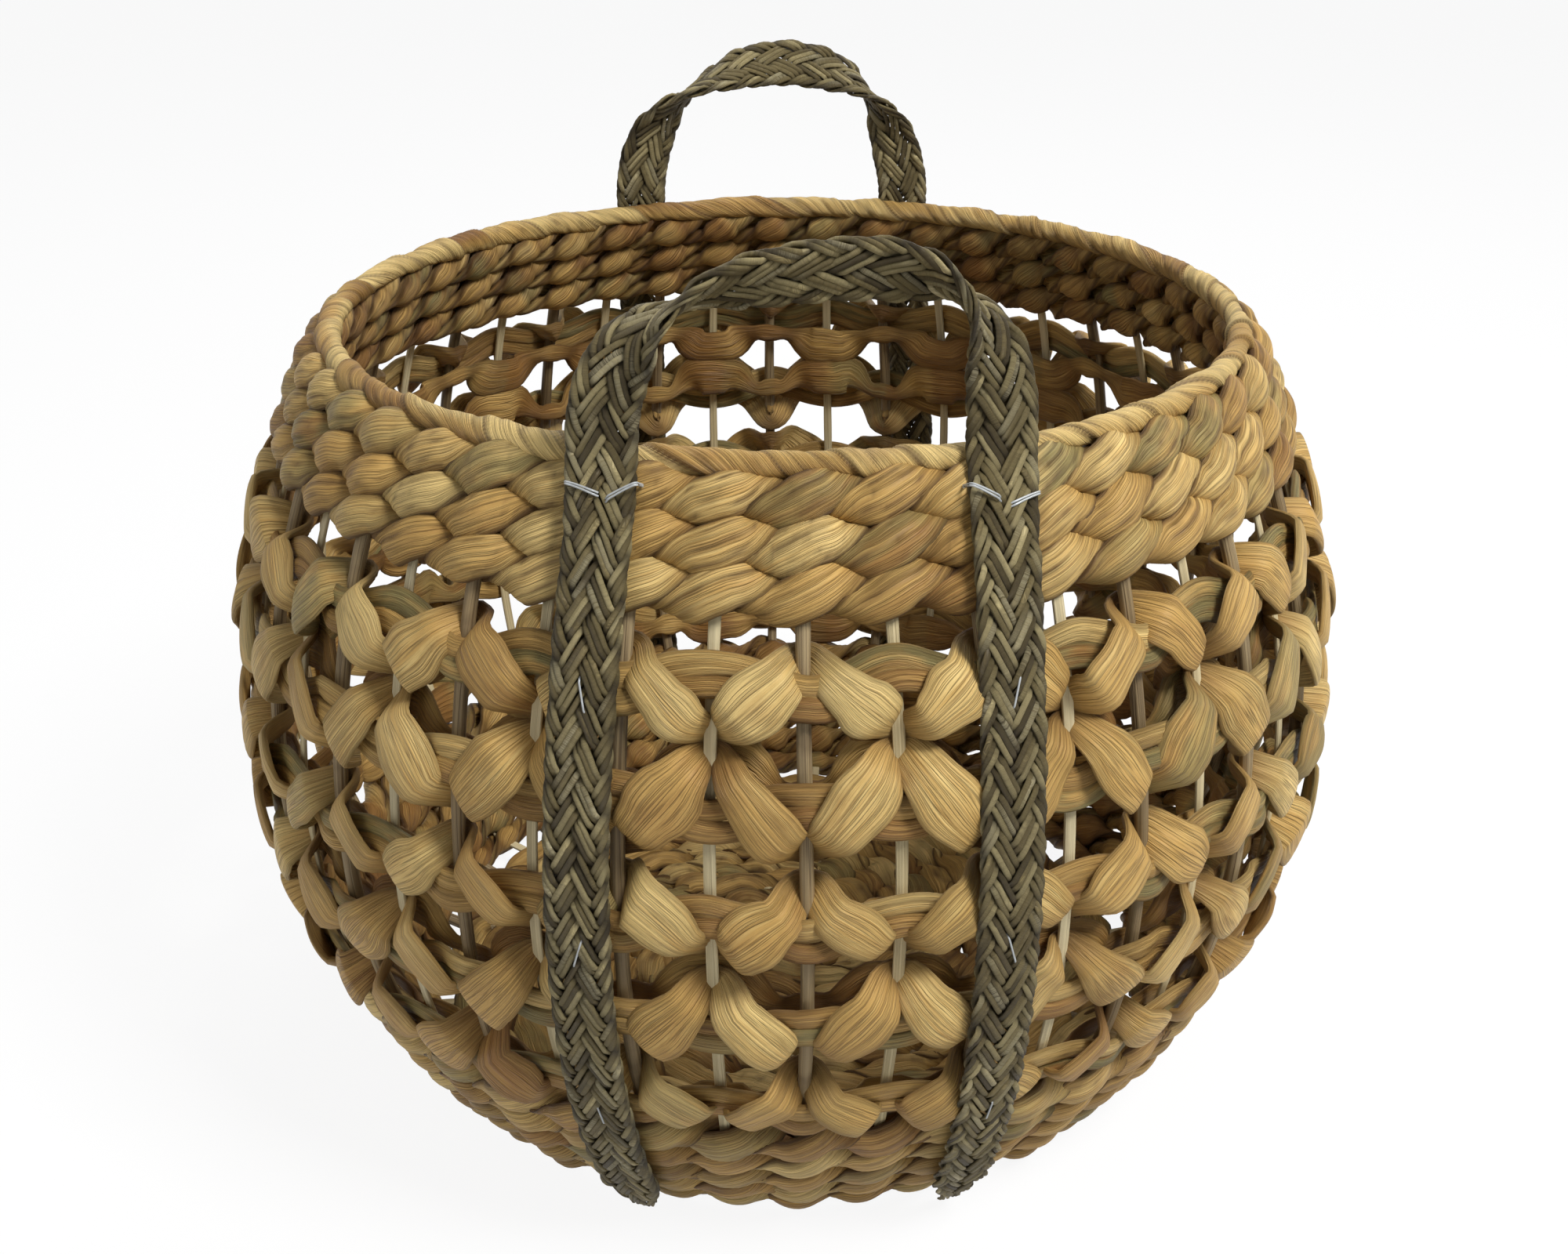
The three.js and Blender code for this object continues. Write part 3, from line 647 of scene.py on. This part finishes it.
for row, (full_half, tucked_half, sweep, raised) in enumerate(foot_rows):
    row_run = foot_run - row * foot_pitch + raised * MM
    plies = twined(
        on_row, 60 + row, stake_count, per_lobe=16, sides=18,
        half_width=(full_half * MM, tucked_half * MM), half_thick=(3 * MM, 2.4 * MM),
        reach=(5.2 * MM, sweep * MM), ridges=(5, 9), depth=0.35 * MM, run=row_run,
    )
    foot_row = built(f"foot_row_{row + 1}_twined", plies, hyacinth)
    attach(foot_row, "root")
    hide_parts(f"foot_row_{row + 1}")


# Openwork. In each of five rows two flat strands run in front of the stakes, and a third
# strand is laid over them in leaf-shaped petals and drawn tight behind every stake.
def zigzag(wave, sharpness):
    """A wave from minus one to one, made straight but for a round turn at each end."""
    return np.arcsin(sharpness * wave) / math.asin(sharpness)


open_first = 262 * MM
open_pitch = 41 * MM
# How far the petals of each row reach up and down, and their half width at either end.
petal_rows = MM * np.array([
    (7, -18, 5.4, 3.6), (18, -17, 3.6, 5.6), (12, -12, 5.6, 4), (18, -14, 3.8, 5.4),
    (14, -9, 5.4, 4.2),
])
petal_half = 10.6 * MM
petal_lift = 7.2 * MM
petal_crown = 1.8 * MM
petal_cup = 0.6 * MM
behind_half = 3.6 * MM
behind_lift = -2.4 * MM
bar_half = 4.3 * MM
bar_thick = 1.7 * MM
bar_lift = 2.6 * MM
bar_apart = 3.6 * MM
bar_wave = 3.6 * MM
bar_drop = 1.5 * MM

# Places along a row, counted in stakes: a cane at each even number, a splint at each odd.
per_stake = 22
count = stake_count * per_stake
s = np.arange(count) / per_stake
azimuth = seam + s * stake_step
away = np.abs(s - np.round(s))
by_turns = np.cos(math.pi * s)
at_rod = 0.5 + 0.5 * by_turns
from_splint = np.abs(s % 2 - 1)
lens = 1 - smooth_step(from_splint, 0.25, 0.85)
knot = smooth_step(from_splint, 0.65, 0.95)
# The strands behind the petals are seen less and take every second place.
second = slice(None, None, 2)

for row, (upper, lower, upper_end, lower_end) in enumerate(petal_rows):
    row_run = open_first - row * open_pitch
    lowest = row == len(petal_rows) - 1
    hand = 1 if row % 2 == 0 else -1
    draw = np.random.default_rng(70 + row)

    def each_petal(low, high):
        return lobe_values(draw, s + 0.5, low, high)

    base = on_wall(azimuth, row_run, 0)
    outward = unit(on_wall(azimuth, row_run, MM) - base)
    pressed = under_strap(base, row_run)
    high_end = 0.5 + 0.5 * hand * by_turns
    sway = hand * zigzag(by_turns, 0.97)
    middle = (upper + lower) / 2
    swing = (upper - lower) / 2
    belly = smooth_step(away, 0.04, 0.28)
    skew = np.exp(each_petal(-0.42, 0.42))
    leaf = np.sin(math.pi * np.clip((s - np.floor(s) - 0.05) / 0.9, 0, 1) ** skew) ** 0.88

    rise = middle + swing * sway + 0.8 * MM * ring_noise(draw, count, 20, 44)
    rise = rise + each_petal(-1.6, 1.6) * MM * belly
    front_lift = petal_lift + each_petal(-0.7, 0.7) * MM + petal_crown * leaf
    front_lift = front_lift - (1.4 + 1.6 * leaf) * MM * pressed
    back_lift = behind_lift * (1 + at_rod)
    points = on_wall(azimuth, row_run + rise, back_lift + (front_lift - back_lift) * belly)
    along = ring_heading(points)
    flat_out = square_to(outward, along)
    twist = each_petal(-0.3, 0.3) * leaf * (1 - pressed)
    facing = np.cos(twist)[:, None] * flat_out + np.sin(twist)[:, None] * np.cross(along, flat_out)
    ends = lower_end + (upper_end - lower_end) * high_end
    wide = petal_half * (1 + each_petal(-0.14, 0.14) + 0.07 * ring_noise(draw, count, 30, 110))
    behind = behind_half * (1 - smooth_step(away, 0.03, 0.12))
    half_width = np.maximum(ends + (wide - ends) * leaf, behind)
    half_thick = (1.4 + 0.5 * leaf) * MM
    furrow = (0.2 - 0.14 * leaf) * MM
    # Petals darken towards their pinched ends, partly as a stain and partly as painted shade, and the lowest
    # row is darker all over.
    tone = 0.62 + 0.1 * ring_noise(draw, count, 3, 12) + each_petal(-0.22, 0.22)
    tone = tone - 0.3 * (1 - leaf) ** 2 - (0.18 if lowest else 0)
    green = np.clip(each_petal(-2.2, 0.8), 0, 1)
    # Painted shade also goes into the pinched ends and along the sides of the petals.
    petals = stalk(
        points, facing, half_width, half_thick, sides=48, seed=80 + row, ridges=(8, 18),
        depth=furrow, edge=0.85, dip_shade=0.7 * (1 - leaf) ** 1.5,
        cup=petal_cup * leaf * (1 - 0.6 * pressed), side_shade=0.3, tone=tone, green=green,
    )

    # Inside the wall the weave shows as a broad lens at every splint and a knot at every cane.
    lens_lift = (-5.8 + 3 * smooth_step(away, 0.2, 0.46)) * MM
    lens_level = middle - 0.6 * hand * swing - (4 * MM if lowest else 0)
    bar_level = -bar_drop - bar_wave * hand
    lens_rise = bar_level + (lens_level - bar_level) * lens + 1.2 * MM * ring_noise(draw, count, 10, 40)
    points = on_wall(azimuth, row_run + lens_rise, lens_lift)[second]
    lens_half = (2.8 + 7 * lens + 2.4 * knot) * MM * (1 + 0.12 * ring_noise(draw, count, 20, 44))
    lens_thick = (1.3 + 0.7 * lens) * MM
    # The weave inside the wall is darker as painted shade, and painted shade fills the gaps between lenses
    # and knots.
    lens_tone = 0.2 + 0.3 * ring_noise(draw, count, 8, 40)
    lens_gap_shade = 0.5 * (1 - lens - knot).clip(0)
    inner = stalk(
        points, outward[second], lens_half[second], lens_thick[second], sides=18, seed=85 + row,
        ridges=(5, 9), depth=0.3 * MM, edge=1.2, dip_shade=lens_gap_shade[second],
        tone=lens_tone[second], green=green[second],
    )
    petal_piece = built(f"openwork_petals_{row + 1}_leaf", [petals, inner], hyacinth)

    bars = []
    for strand, level in enumerate((bar_apart, -bar_apart)):
        wave = -bar_drop - bar_wave * hand * by_turns
        bar_rise = level + wave + 0.7 * MM * ring_noise(draw, count, 10, 40)
        over_stake = (0.6 + 2.2 * at_rod) * MM * (1 - smooth_step(away, 0.05, 0.4))
        lift = bar_lift + over_stake + 0.4 * MM * strand
        points = on_wall(azimuth, row_run + bar_rise, lift)[second]
        half_width = bar_half * (1 + 0.12 * ring_noise(draw, count, 8, 30))
        tone = 0.3 + 0.25 * ring_noise(draw, count, 2, 10) + 0.2 * (1 - strand)
        green = smooth_step(ring_noise(draw, count, 2, 7), 0.1, 0.5)
        bars.append(stalk(
            points, outward[second], half_width[second], np.full(len(points), bar_thick),
            sides=16, seed=90 + row * 2 + strand, ridges=(5, 8), depth=0.3 * MM,
            tone=tone[second], green=green[second],
        ))
    bar_piece = built(f"openwork_bar_{row + 1}_pair", bars, hyacinth)
    for piece, node_name in (
        (petal_piece, f"openwork_petals_{row + 1}"), (bar_piece, f"openwork_bar_{row + 1}"),
    ):
        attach(piece, "root")
        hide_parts(node_name)


# Top rows. Three fat twined rows close the wall under the rim; each ply swells over a
# stake and tapers where the next one laps it.
top_runs = (318.3 * MM, 303.6 * MM, 289 * MM)
for row, row_run in enumerate(top_runs):
    plies = twined(
        on_row, 30 + row, stake_count, per_lobe=22, sides=28,
        half_width=(7.9 * MM, 3.2 * MM), half_thick=(3.9 * MM, 2.6 * MM),
        reach=(5.2 * MM, 4.4 * MM), ridges=(8, 17), depth=0.45 * MM, run=row_run,
    )
    for ply, word in zip(plies, ("first", "second")):
        top_ply = built(f"top_row_{row + 1}_{word}_stalk", [ply], hyacinth)
        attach(top_ply, "root")
        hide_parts(f"top_row_{row + 1}_{word}_ply")


# Rim. A round cane hoop holds the tops of the stakes, and one flattened strip of water
# hyacinth is wound round it, each turn lapping the last.
hoop_count = 132
hoop_angles = np.arange(hoop_count) / hoop_count * 2 * math.pi
hoop_points = np.stack([
    rim_radius * np.cos(hoop_angles), rim_radius * np.sin(hoop_angles), np.full(hoop_count, rim_height),
], -1)
hoop_line = {"points": hoop_points, "facing": np.tile([0.0, 0.0, 1.0], (hoop_count, 1)), "closed": True}
hoop = swept("rim_hoop_cane", [hoop_line], width=2 * hoop_radius, sides=10, material=cane)
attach(hoop, "root")
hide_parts("rim_hoop")

# The strip is one long helix: turns counts it along the hoop, way along the strip.
wrap_turns = 38
wrap_pitch = 2 * math.pi * rim_radius / wrap_turns
wrap_radius = 4.1 * MM
wrap_swell = 0.4 * MM
pleat_depth = 0.4 * MM
# The end of the strip is tucked in here, and makes a lump.
tuck_azimuth = 4.2
tuck_spread = 0.16
tuck_height = 1.5 * MM
count, sides = 1500, 28


def wrap_place(around, theta):
    """Turns of the strip at a place on the hoop: whole at an edge, and never quite even."""
    turns = wrap_turns * around / (2 * math.pi) + theta / (2 * math.pi)
    turns = turns + 0.25 * np.sin(5 * around + 1) + 0.14 * np.sin(11 * around + 4)
    return turns + 0.06 * np.sin(23 * around)


def strip_noise(draw, way, least, most):
    """Smooth noise along the strip that closes on itself after all its turns."""
    waves = draw.integers(least, most + 1, 9)
    return sum(np.sin(wave * way / wrap_turns * 2 * math.pi + draw.uniform(0, 6.3)) for wave in waves) / 3


draw = np.random.default_rng(11)
around = np.arange(count) / count * 2 * math.pi
theta = np.arange(sides) / sides * 2 * math.pi
turns = wrap_place(around[:, None], theta)
share = turns - np.floor(turns)
way = np.floor(turns) - theta / (2 * math.pi)
lap_height = (0.9 + 0.5 * strip_noise(draw, way, 10, 60)) * MM
lap = lap_height * (1 - smooth_step(share, 0, 0.85)) * smooth_step(share, 0, 0.05)
pleat = np.zeros((count, sides))
for wave in (2, 3, 5):
    drift = draw.uniform(0, 6.3) + 1.2 * strip_noise(draw, way, 5, 40)
    pleat += 2 * np.abs(np.cos(wave * math.pi * share + drift)) - 1.27
pleat /= 3
lump = tuck_height * np.exp(-((around - tuck_azimuth) / tuck_spread) ** 2)
lump = wrap_swell * ring_noise(draw, count, 6, 30) + lump
radius = wrap_radius + lump[:, None] + lap + pleat_depth * pleat * smooth_step(share, 0, 0.1)
out = np.stack([np.cos(around), np.sin(around), np.zeros(count)], -1)
up = np.array([0, 0, 1.0])
centre = rim_radius * out + np.array([0, 0, rim_height])
rings = (
    centre[:, None] + (radius * np.cos(theta))[..., None] * out[:, None]
    + (radius * np.sin(theta))[..., None] * up
)
tone = 0.72 + 0.4 * strip_noise(draw, way, 6, 38)
# Painted shade makes the strip dark in its pleats and on both sides of each lap.
to_lap = np.minimum(share / 0.1, (1 - share) / 0.05)
fold = np.maximum(np.clip(-pleat * 0.9, 0, 0.7), 0.95 - 0.95 * smooth_step(to_lap, 0, 1))
wrap = built("rim_wrap_strip", [{
    "rings": rings, "along": np.zeros(count + 1), "girth": 1,
    "marks": {"tone": tone, "fold": fold, "green": 0 * tone},
}], hyacinth)
# The grain runs along the strip, so each face takes its UV map from the turn it lies in.
i, j = np.meshgrid(np.arange(count), np.arange(sides), indexing="ij")
corner_around = np.stack([i, i, i + 1, i + 1], -1) / count * 2 * math.pi
corner_theta = np.stack([j, j + 1, j + 1, j], -1) / sides * 2 * math.pi
turns = wrap_place(corner_around, corner_theta)
turn = np.floor(turns[..., :1])
flat = np.stack([(turns - turn) * wrap_pitch, (turn - corner_theta / (2 * math.pi)) * wrap_pitch], -1)
layer = wrap.data.uv_layers["strand"]
layer.data.foreach_set("uv", flat.reshape(-1).astype(np.float32))
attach(wrap, "root")
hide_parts("rim_wrap")


# Handles. Each handle is one flat plait of seven seagrass strands of three blades. It runs
# up the wall, stands over the rim as a loop and runs down the wall again.
seagrass = plant_material(
    "seagrass", (0.095, 0.070, 0.028), (0.25, 0.193, 0.080), (0.53, 0.435, 0.215), (0.025, 0.016, 0.007),
    fineness=0.8, length=3, stain=0.35, stain_colour=(0.10, 0.07, 0.03),
    green_colour=(0.56, 0.49, 0.30), roughness=0.4, crease=0.35, bump_depth=0.5, fold=0.95,
)
strap_lift = 11.3 * MM
strap_step = 2 * MM
leg_end_run = 306 * MM
hinge_height = 315.55 * MM
hinge_depth = 171.7 * MM
plait_period = 93 * MM
plait_half = 10.4 * MM
plait_rise = 1.6 * MM
plait_end = 26 * MM
strands_in_plait = 7
blades_in_strand = 3
blade_width = 2.2 * MM
blade_thickness = 1.4 * MM
# A strand goes from one edge to the other under one, over two, under two and over one.
weave_stages = (0, 0.8, 1.2, 1.8, 3.2, 3.8, 5.2, 5.8, 6.2, 7)
weave_sides = (0, 1, 1, -1, -1, 1, 1, -1, -1, 0)

# Middle line of each loop: millimetres to the side, over the hinge, degrees of roll.
front_arch = (
    (-62, -3, 0), (-62, 4, 0), (-60.5, 13, 5), (-57, 23, 20), (-51, 32, 50), (-42, 40, 90), (-30, 46, 125),
    (-15, 50, 148), (3, 52.5, 158), (22, 53.5, 160), (37, 51, 145), (48, 45, 105), (56, 35, 55),
    (60, 23, 20), (61.5, 12, 5), (62, 4, 0), (62, -3, 0),
)
back_arch = (
    (-62, -3, 0), (-62, 4, 0), (-59.5, 16, 8), (-55.5, 29, 30), (-49, 41, 70), (-39, 51, 108), (-25, 57, 135),
    (-8, 60, 142), (12, 58, 132), (32, 50.5, 98), (46, 41, 62), (55, 29, 28), (60, 16, 8), (62, 4, 0),
    (62, -3, 0),
)


def leg_place(side_sign, run):
    """Middle and face of a leg at a run up the wall of the front."""
    on_axis = on_wall(0.0, run, strap_lift)
    azimuth = -np.arccos(side_sign * leg_side(side_sign, run) / on_axis[..., 0])
    middle = on_wall(azimuth, run, strap_lift)
    return middle, unit(on_wall(azimuth, run, strap_lift + MM) - middle)


def strap_path(arch):
    """Middles and faces along a strap, from its left foot over the loop to its right foot."""
    runs = np.linspace(leg_foot_run, leg_end_run, 64)
    left, left_face = leg_place(-1, runs)
    right, right_face = leg_place(1, runs[::-1])
    aside, height, roll = np.array(arch).T
    loop = np.stack([aside * MM, np.full(len(aside), -hinge_depth), hinge_height + height * MM], -1)
    forward = unit(np.gradient(loop, axis=0))
    level = np.array([0.0, -1.0, 0.0])
    outward = np.cross(level, forward)
    roll = np.radians(roll)[:, None]
    points = np.concatenate([left, loop, right])
    faces = np.concatenate([left_face, np.cos(roll) * level + np.sin(roll) * outward, right_face])
    steps = np.concatenate([[0], np.cumsum(np.linalg.norm(np.diff(points, axis=0), axis=-1))])
    even = np.arange(0, steps[-1], strap_step)
    points = np.stack([np.interp(even, steps, points[:, axis]) for axis in range(3)], -1)
    faces = np.stack([np.interp(even, steps, faces[:, axis]) for axis in range(3)], -1)
    # A short running mean rounds the bends, and leaves the two ends in place.
    window = np.hanning(11)
    kernel = window / window.sum()
    for array in (points, faces):
        for axis in range(3):
            before = 2 * array[0, axis] - array[5:0:-1, axis]
            after = 2 * array[-1, axis] - array[-2:-7:-1, axis]
            padded = np.concatenate([before, array[:, axis], after])
            array[:, axis] = np.convolve(padded, kernel, mode="valid")
    return points, unit(faces), even


def plait(points, faces, way, seed):
    """Lines of the blades of a flat plait that follows a path."""
    draw = np.random.default_rng(seed)
    along = unit(np.gradient(points, axis=0))
    facing = square_to(faces, along)
    across = np.cross(along, facing)
    taper = 0.45 + 0.55 * smooth_step(np.minimum(way, way[-1] - way), 0, plait_end)
    lines = []
    for strand in range(strands_in_plait):
        for blade in range(blades_in_strand):
            shift = (blade - 1) / (strands_in_plait * blades_in_strand)
            wobble = 0.004 * sum(np.sin(way * draw.uniform(20, 90) + draw.uniform(0, 6.3)) for _ in range(3))
            turns = way / plait_period + strand / strands_in_plait + shift + wobble
            sweep = zigzag(np.sin(2 * math.pi * turns), 0.96)
            stage = strands_in_plait * (2 * (turns + 0.25) - shift) % strands_in_plait
            weave = np.interp(stage, weave_stages, weave_sides)
            lift = -plait_rise * weave + draw.uniform(-0.15, 0.15) * MM
            lift = lift + 0.15 * MM * np.sin(way * draw.uniform(60, 160) + draw.uniform(0, 6.3))
            line = points + (plait_half * taper * sweep)[:, None] * across + lift[:, None] * facing
            tilt = unit(np.gradient(line, axis=0))
            size = taper ** 0.5 * draw.uniform(0.9, 1.1)
            tone = draw.uniform(0.15, 0.8) + 0.3 * np.sin(way * draw.uniform(15, 70) + draw.uniform(0, 6))
            green = np.sin(way * draw.uniform(15, 60) + draw.uniform(0, 6)) * 4 - 3.2
            # Painted shade darkens each blade where it crosses over and dives under its neighbours.
            lines.append({
                "points": line, "facing": square_to(facing, tilt), "size": size, "tone": tone,
                "green": np.clip(green, 0, 1), "fold": np.clip(0.95 - 1.1 * np.abs(weave), 0, 1),
            })
    return lines


half_turn = np.array([-1.0, -1.0, 1.0])
handles = (("front", np.ones(3), front_arch, 5), ("back", half_turn, back_arch, 6))
for hand, spin, arch, seed in handles:
    path, path_faces, path_way = strap_path(arch)
    blades = plait(path * spin, path_faces * spin, path_way, seed)
    strap = swept(
        f"{hand}_handle_plait", blades, width=blade_width, thickness=blade_thickness,
        squareness=0.85, sides=8, material=seagrass,
    )
    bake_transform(strap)
    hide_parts(f"{hand}_handle_left_leg", f"{hand}_handle_right_leg", f"{hand}_handle_loop")


# Ties. Clear nylon line holds each leg of a strap to the weave: a shallow V of doubled
# line just under the rim, and three short stitches down the middle of the leg.
nylon = bpy.data.materials.new("clear_nylon")
nylon.use_nodes = True
nylon_tree = nylon.node_tree
nylon_place = nylon_tree.nodes.new("ShaderNodeTexCoord").outputs["Object"]
cloud = add_node(nylon_tree, "ShaderNodeTexNoise", {"Vector": nylon_place, "Scale": 400})
cloud_tone = add_node(nylon_tree, "ShaderNodeMix", {
    0: cloud.outputs["Fac"], 6: (0.30, 0.31, 0.30, 1), 7: (0.62, 0.65, 0.66, 1),
}, data_type="RGBA")
nylon_shader = nylon_tree.nodes["Principled BSDF"]
nylon_tree.links.new(cloud_tone.outputs[2], nylon_shader.inputs["Base Color"])
nylon_shader.inputs["Roughness"].default_value = 0.2
tie_runs = {-1: 319 * MM, 1: 316 * MM}
tie_drop = 4.6 * MM
tie_start = 1.2 * MM
doubled_apart = 1.1 * MM
# The run up the wall and the slant of each stitch.
stitches = ((255 * MM, 0.25), (169 * MM, -0.3), (97 * MM, 0.1))
stitch_half = 6 * MM
strap_half = 11.8 * MM
line_width = 0.7 * MM


def nylon_line(name, hand, side_sign, run, tracks):
    """Lines over a leg: each track gives the way across it, the way up it and the lift."""
    middle, face = leg_place(side_sign, np.array([run]))
    above, _ = leg_place(side_sign, np.array([run + 4 * MM]))
    climb = unit(above - middle)
    across = np.cross(climb, face)
    spin = half_turn if hand == "back" else np.ones(3)
    lines = []
    for sideways, upward, lift in tracks:
        points = middle + sideways[:, None] * across + upward[:, None] * climb + lift[:, None] * face
        facing = square_to(np.repeat(face, len(points), axis=0), unit(np.gradient(points, axis=0)))
        lines.append({"points": points * spin, "facing": facing * spin})
    line = swept(name + "_line", lines, width=line_width, sides=8, material=nylon)
    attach(line, "root")
    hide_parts(name)


for hand in ("front", "back"):
    for side_word, side_sign in (("left", -1), ("right", 1)):
        leg_sign = side_sign if hand == "front" else -side_sign
        # Each half of the tie runs out from the middle, doubled, and sinks in at the edge.
        t = np.linspace(0, 1, 21)
        spread = np.minimum(t / 0.85, 1)
        sideways = tie_start + (strap_half - tie_start) * spread
        lift = (2.3 - 6 * smooth_step(t, 0.8, 1) - 1.6 * smooth_step(t, 0.12, 0)) * MM
        tracks = []
        for way_sign, start in ((-1, 0.4 * MM), (1, -1.6 * MM)):
            for apart in (0, doubled_apart):
                upward = start - tie_drop * (1 - spread) ** 1.2 + apart * (1 - 0.5 * t)
                tracks.append((way_sign * sideways, upward, lift))
        nylon_line(f"{hand}_{side_word}_tie", hand, leg_sign, tie_runs[leg_sign], tracks)
        for number, (run, slant) in enumerate(stitches):
            t = np.linspace(-1, 1, 15)
            lift = (2.2 - 1.6 * smooth_step(np.abs(t), 0.75, 1)) * MM
            track = (slant * leg_sign * stitch_half * t + 0.5 * MM, stitch_half * t, lift)
            nylon_line(f"{hand}_{side_word}_stitch_{number + 1}", hand, leg_sign, run, [track])


# Studio. A sheet of pale paper lies under the basket, in a white room with soft light from
# above and in front, and the camera looks down on it.
def seen_by(tree, *rays):
    """One for what the named kinds of ray see, and zero for light on its way."""
    kinds = tree.nodes.new("ShaderNodeLightPath").outputs
    seen = kinds[rays[0]]
    for ray in rays[1:]:
        seen = maths(tree, "MAXIMUM", seen, kinds[ray])
    return seen


def mixed(tree, share, first, second, surface):
    """Put a mix of two shaders on a surface or a world."""
    mix = add_node(tree, "ShaderNodeMixShader", {0: share, 1: first.outputs[0], 2: second.outputs[0]})
    tree.links.new(mix.outputs[0], surface.inputs["Surface"])


floor_half = 6
floor_level = -0.5 * MM
square = ((-1, -1), (1, -1), (1, 1), (-1, 1))
floor_corners = [(x * floor_half, y * floor_half, floor_level) for x, y in square]
floor_mesh = bpy.data.meshes.new("studio_floor")
floor_mesh.from_pydata(floor_corners, [], [(0, 1, 2, 3)])
floor = placed("studio_floor", floor_mesh)
paper = bpy.data.materials.new("studio_paper")
paper.use_nodes = True
paper_tree = paper.node_tree
paper_shader = paper_tree.nodes["Principled BSDF"]
paper_shader.inputs["Base Color"].default_value = (0.6, 0.6, 0.6, 1)
paper_shader.inputs["Roughness"].default_value = 0.9
paper_white = add_node(paper_tree, "ShaderNodeEmission", {"Color": (1, 1, 1, 1), "Strength": 1.1})
# To the camera the paper is mostly white, and the rest, its own colour, keeps the shadow.
white_share = 0.82
paper_share = maths(
    paper_tree, "MULTIPLY", seen_by(paper_tree, "Is Camera Ray", "Is Glossy Ray"), white_share,
)
mixed(paper_tree, paper_share, paper_shader, paper_white, paper_tree.nodes["Material Output"])
floor_mesh.materials.append(paper)

world = bpy.data.worlds.new("studio")
bpy.context.scene.world = world
world.use_nodes = True
room = world.node_tree
room_light = room.nodes["Background"]
room_light.inputs["Color"].default_value = (0.95, 0.97, 1.0, 1)
room_light.inputs["Strength"].default_value = 0.22
backdrop = add_node(room, "ShaderNodeBackground", {"Color": (1, 1, 1, 1), "Strength": 1})
room_seen = seen_by(room, "Is Camera Ray", "Is Glossy Ray", "Is Transmission Ray")
mixed(room, room_seen, room_light, backdrop, room.nodes["World Output"])


def lamp(name, place, aim, size, power):
    """A square soft lamp that looks at a point."""
    light = bpy.data.lights.new(name, "AREA")
    light.size = size
    light.energy = power
    holder = placed(name, light)
    holder.location = place
    x, y, z = np.array(aim) - np.array(place)
    fall = math.atan2(-z, math.hypot(x, y))
    holder.rotation_euler = (math.pi / 2 - fall, 0, math.atan2(y, x) - math.pi / 2)


lamp("key", (0.9, -0.85, 1.75), (0, 0, 0.15), 0.6, 36)
lamp("fill", (-1.4, -1.1, 1.1), (0, 0, 0.15), 1.2, 4)
lamp("back", (0.3, 1.2, 1.7), (0, 0, 0.2), 1.2, 12)

stand_off = 0.7236
stand_height = 0.5136
camera_turn = math.radians(1.9)
camera_tilt = math.radians(25.45)
camera_data = bpy.data.cameras.new("camera")
camera_data.lens = 43.3
camera_data.sensor_width = 36
camera = placed("camera", camera_data)
camera.location = (
    -stand_off * math.sin(camera_turn), -stand_off * math.cos(camera_turn), stand_height,
)
camera.rotation_euler = (math.pi / 2 - camera_tilt, 0, -camera_turn)
bpy.context.scene.camera = camera
bpy.context.scene.view_settings.view_transform = "Standard"
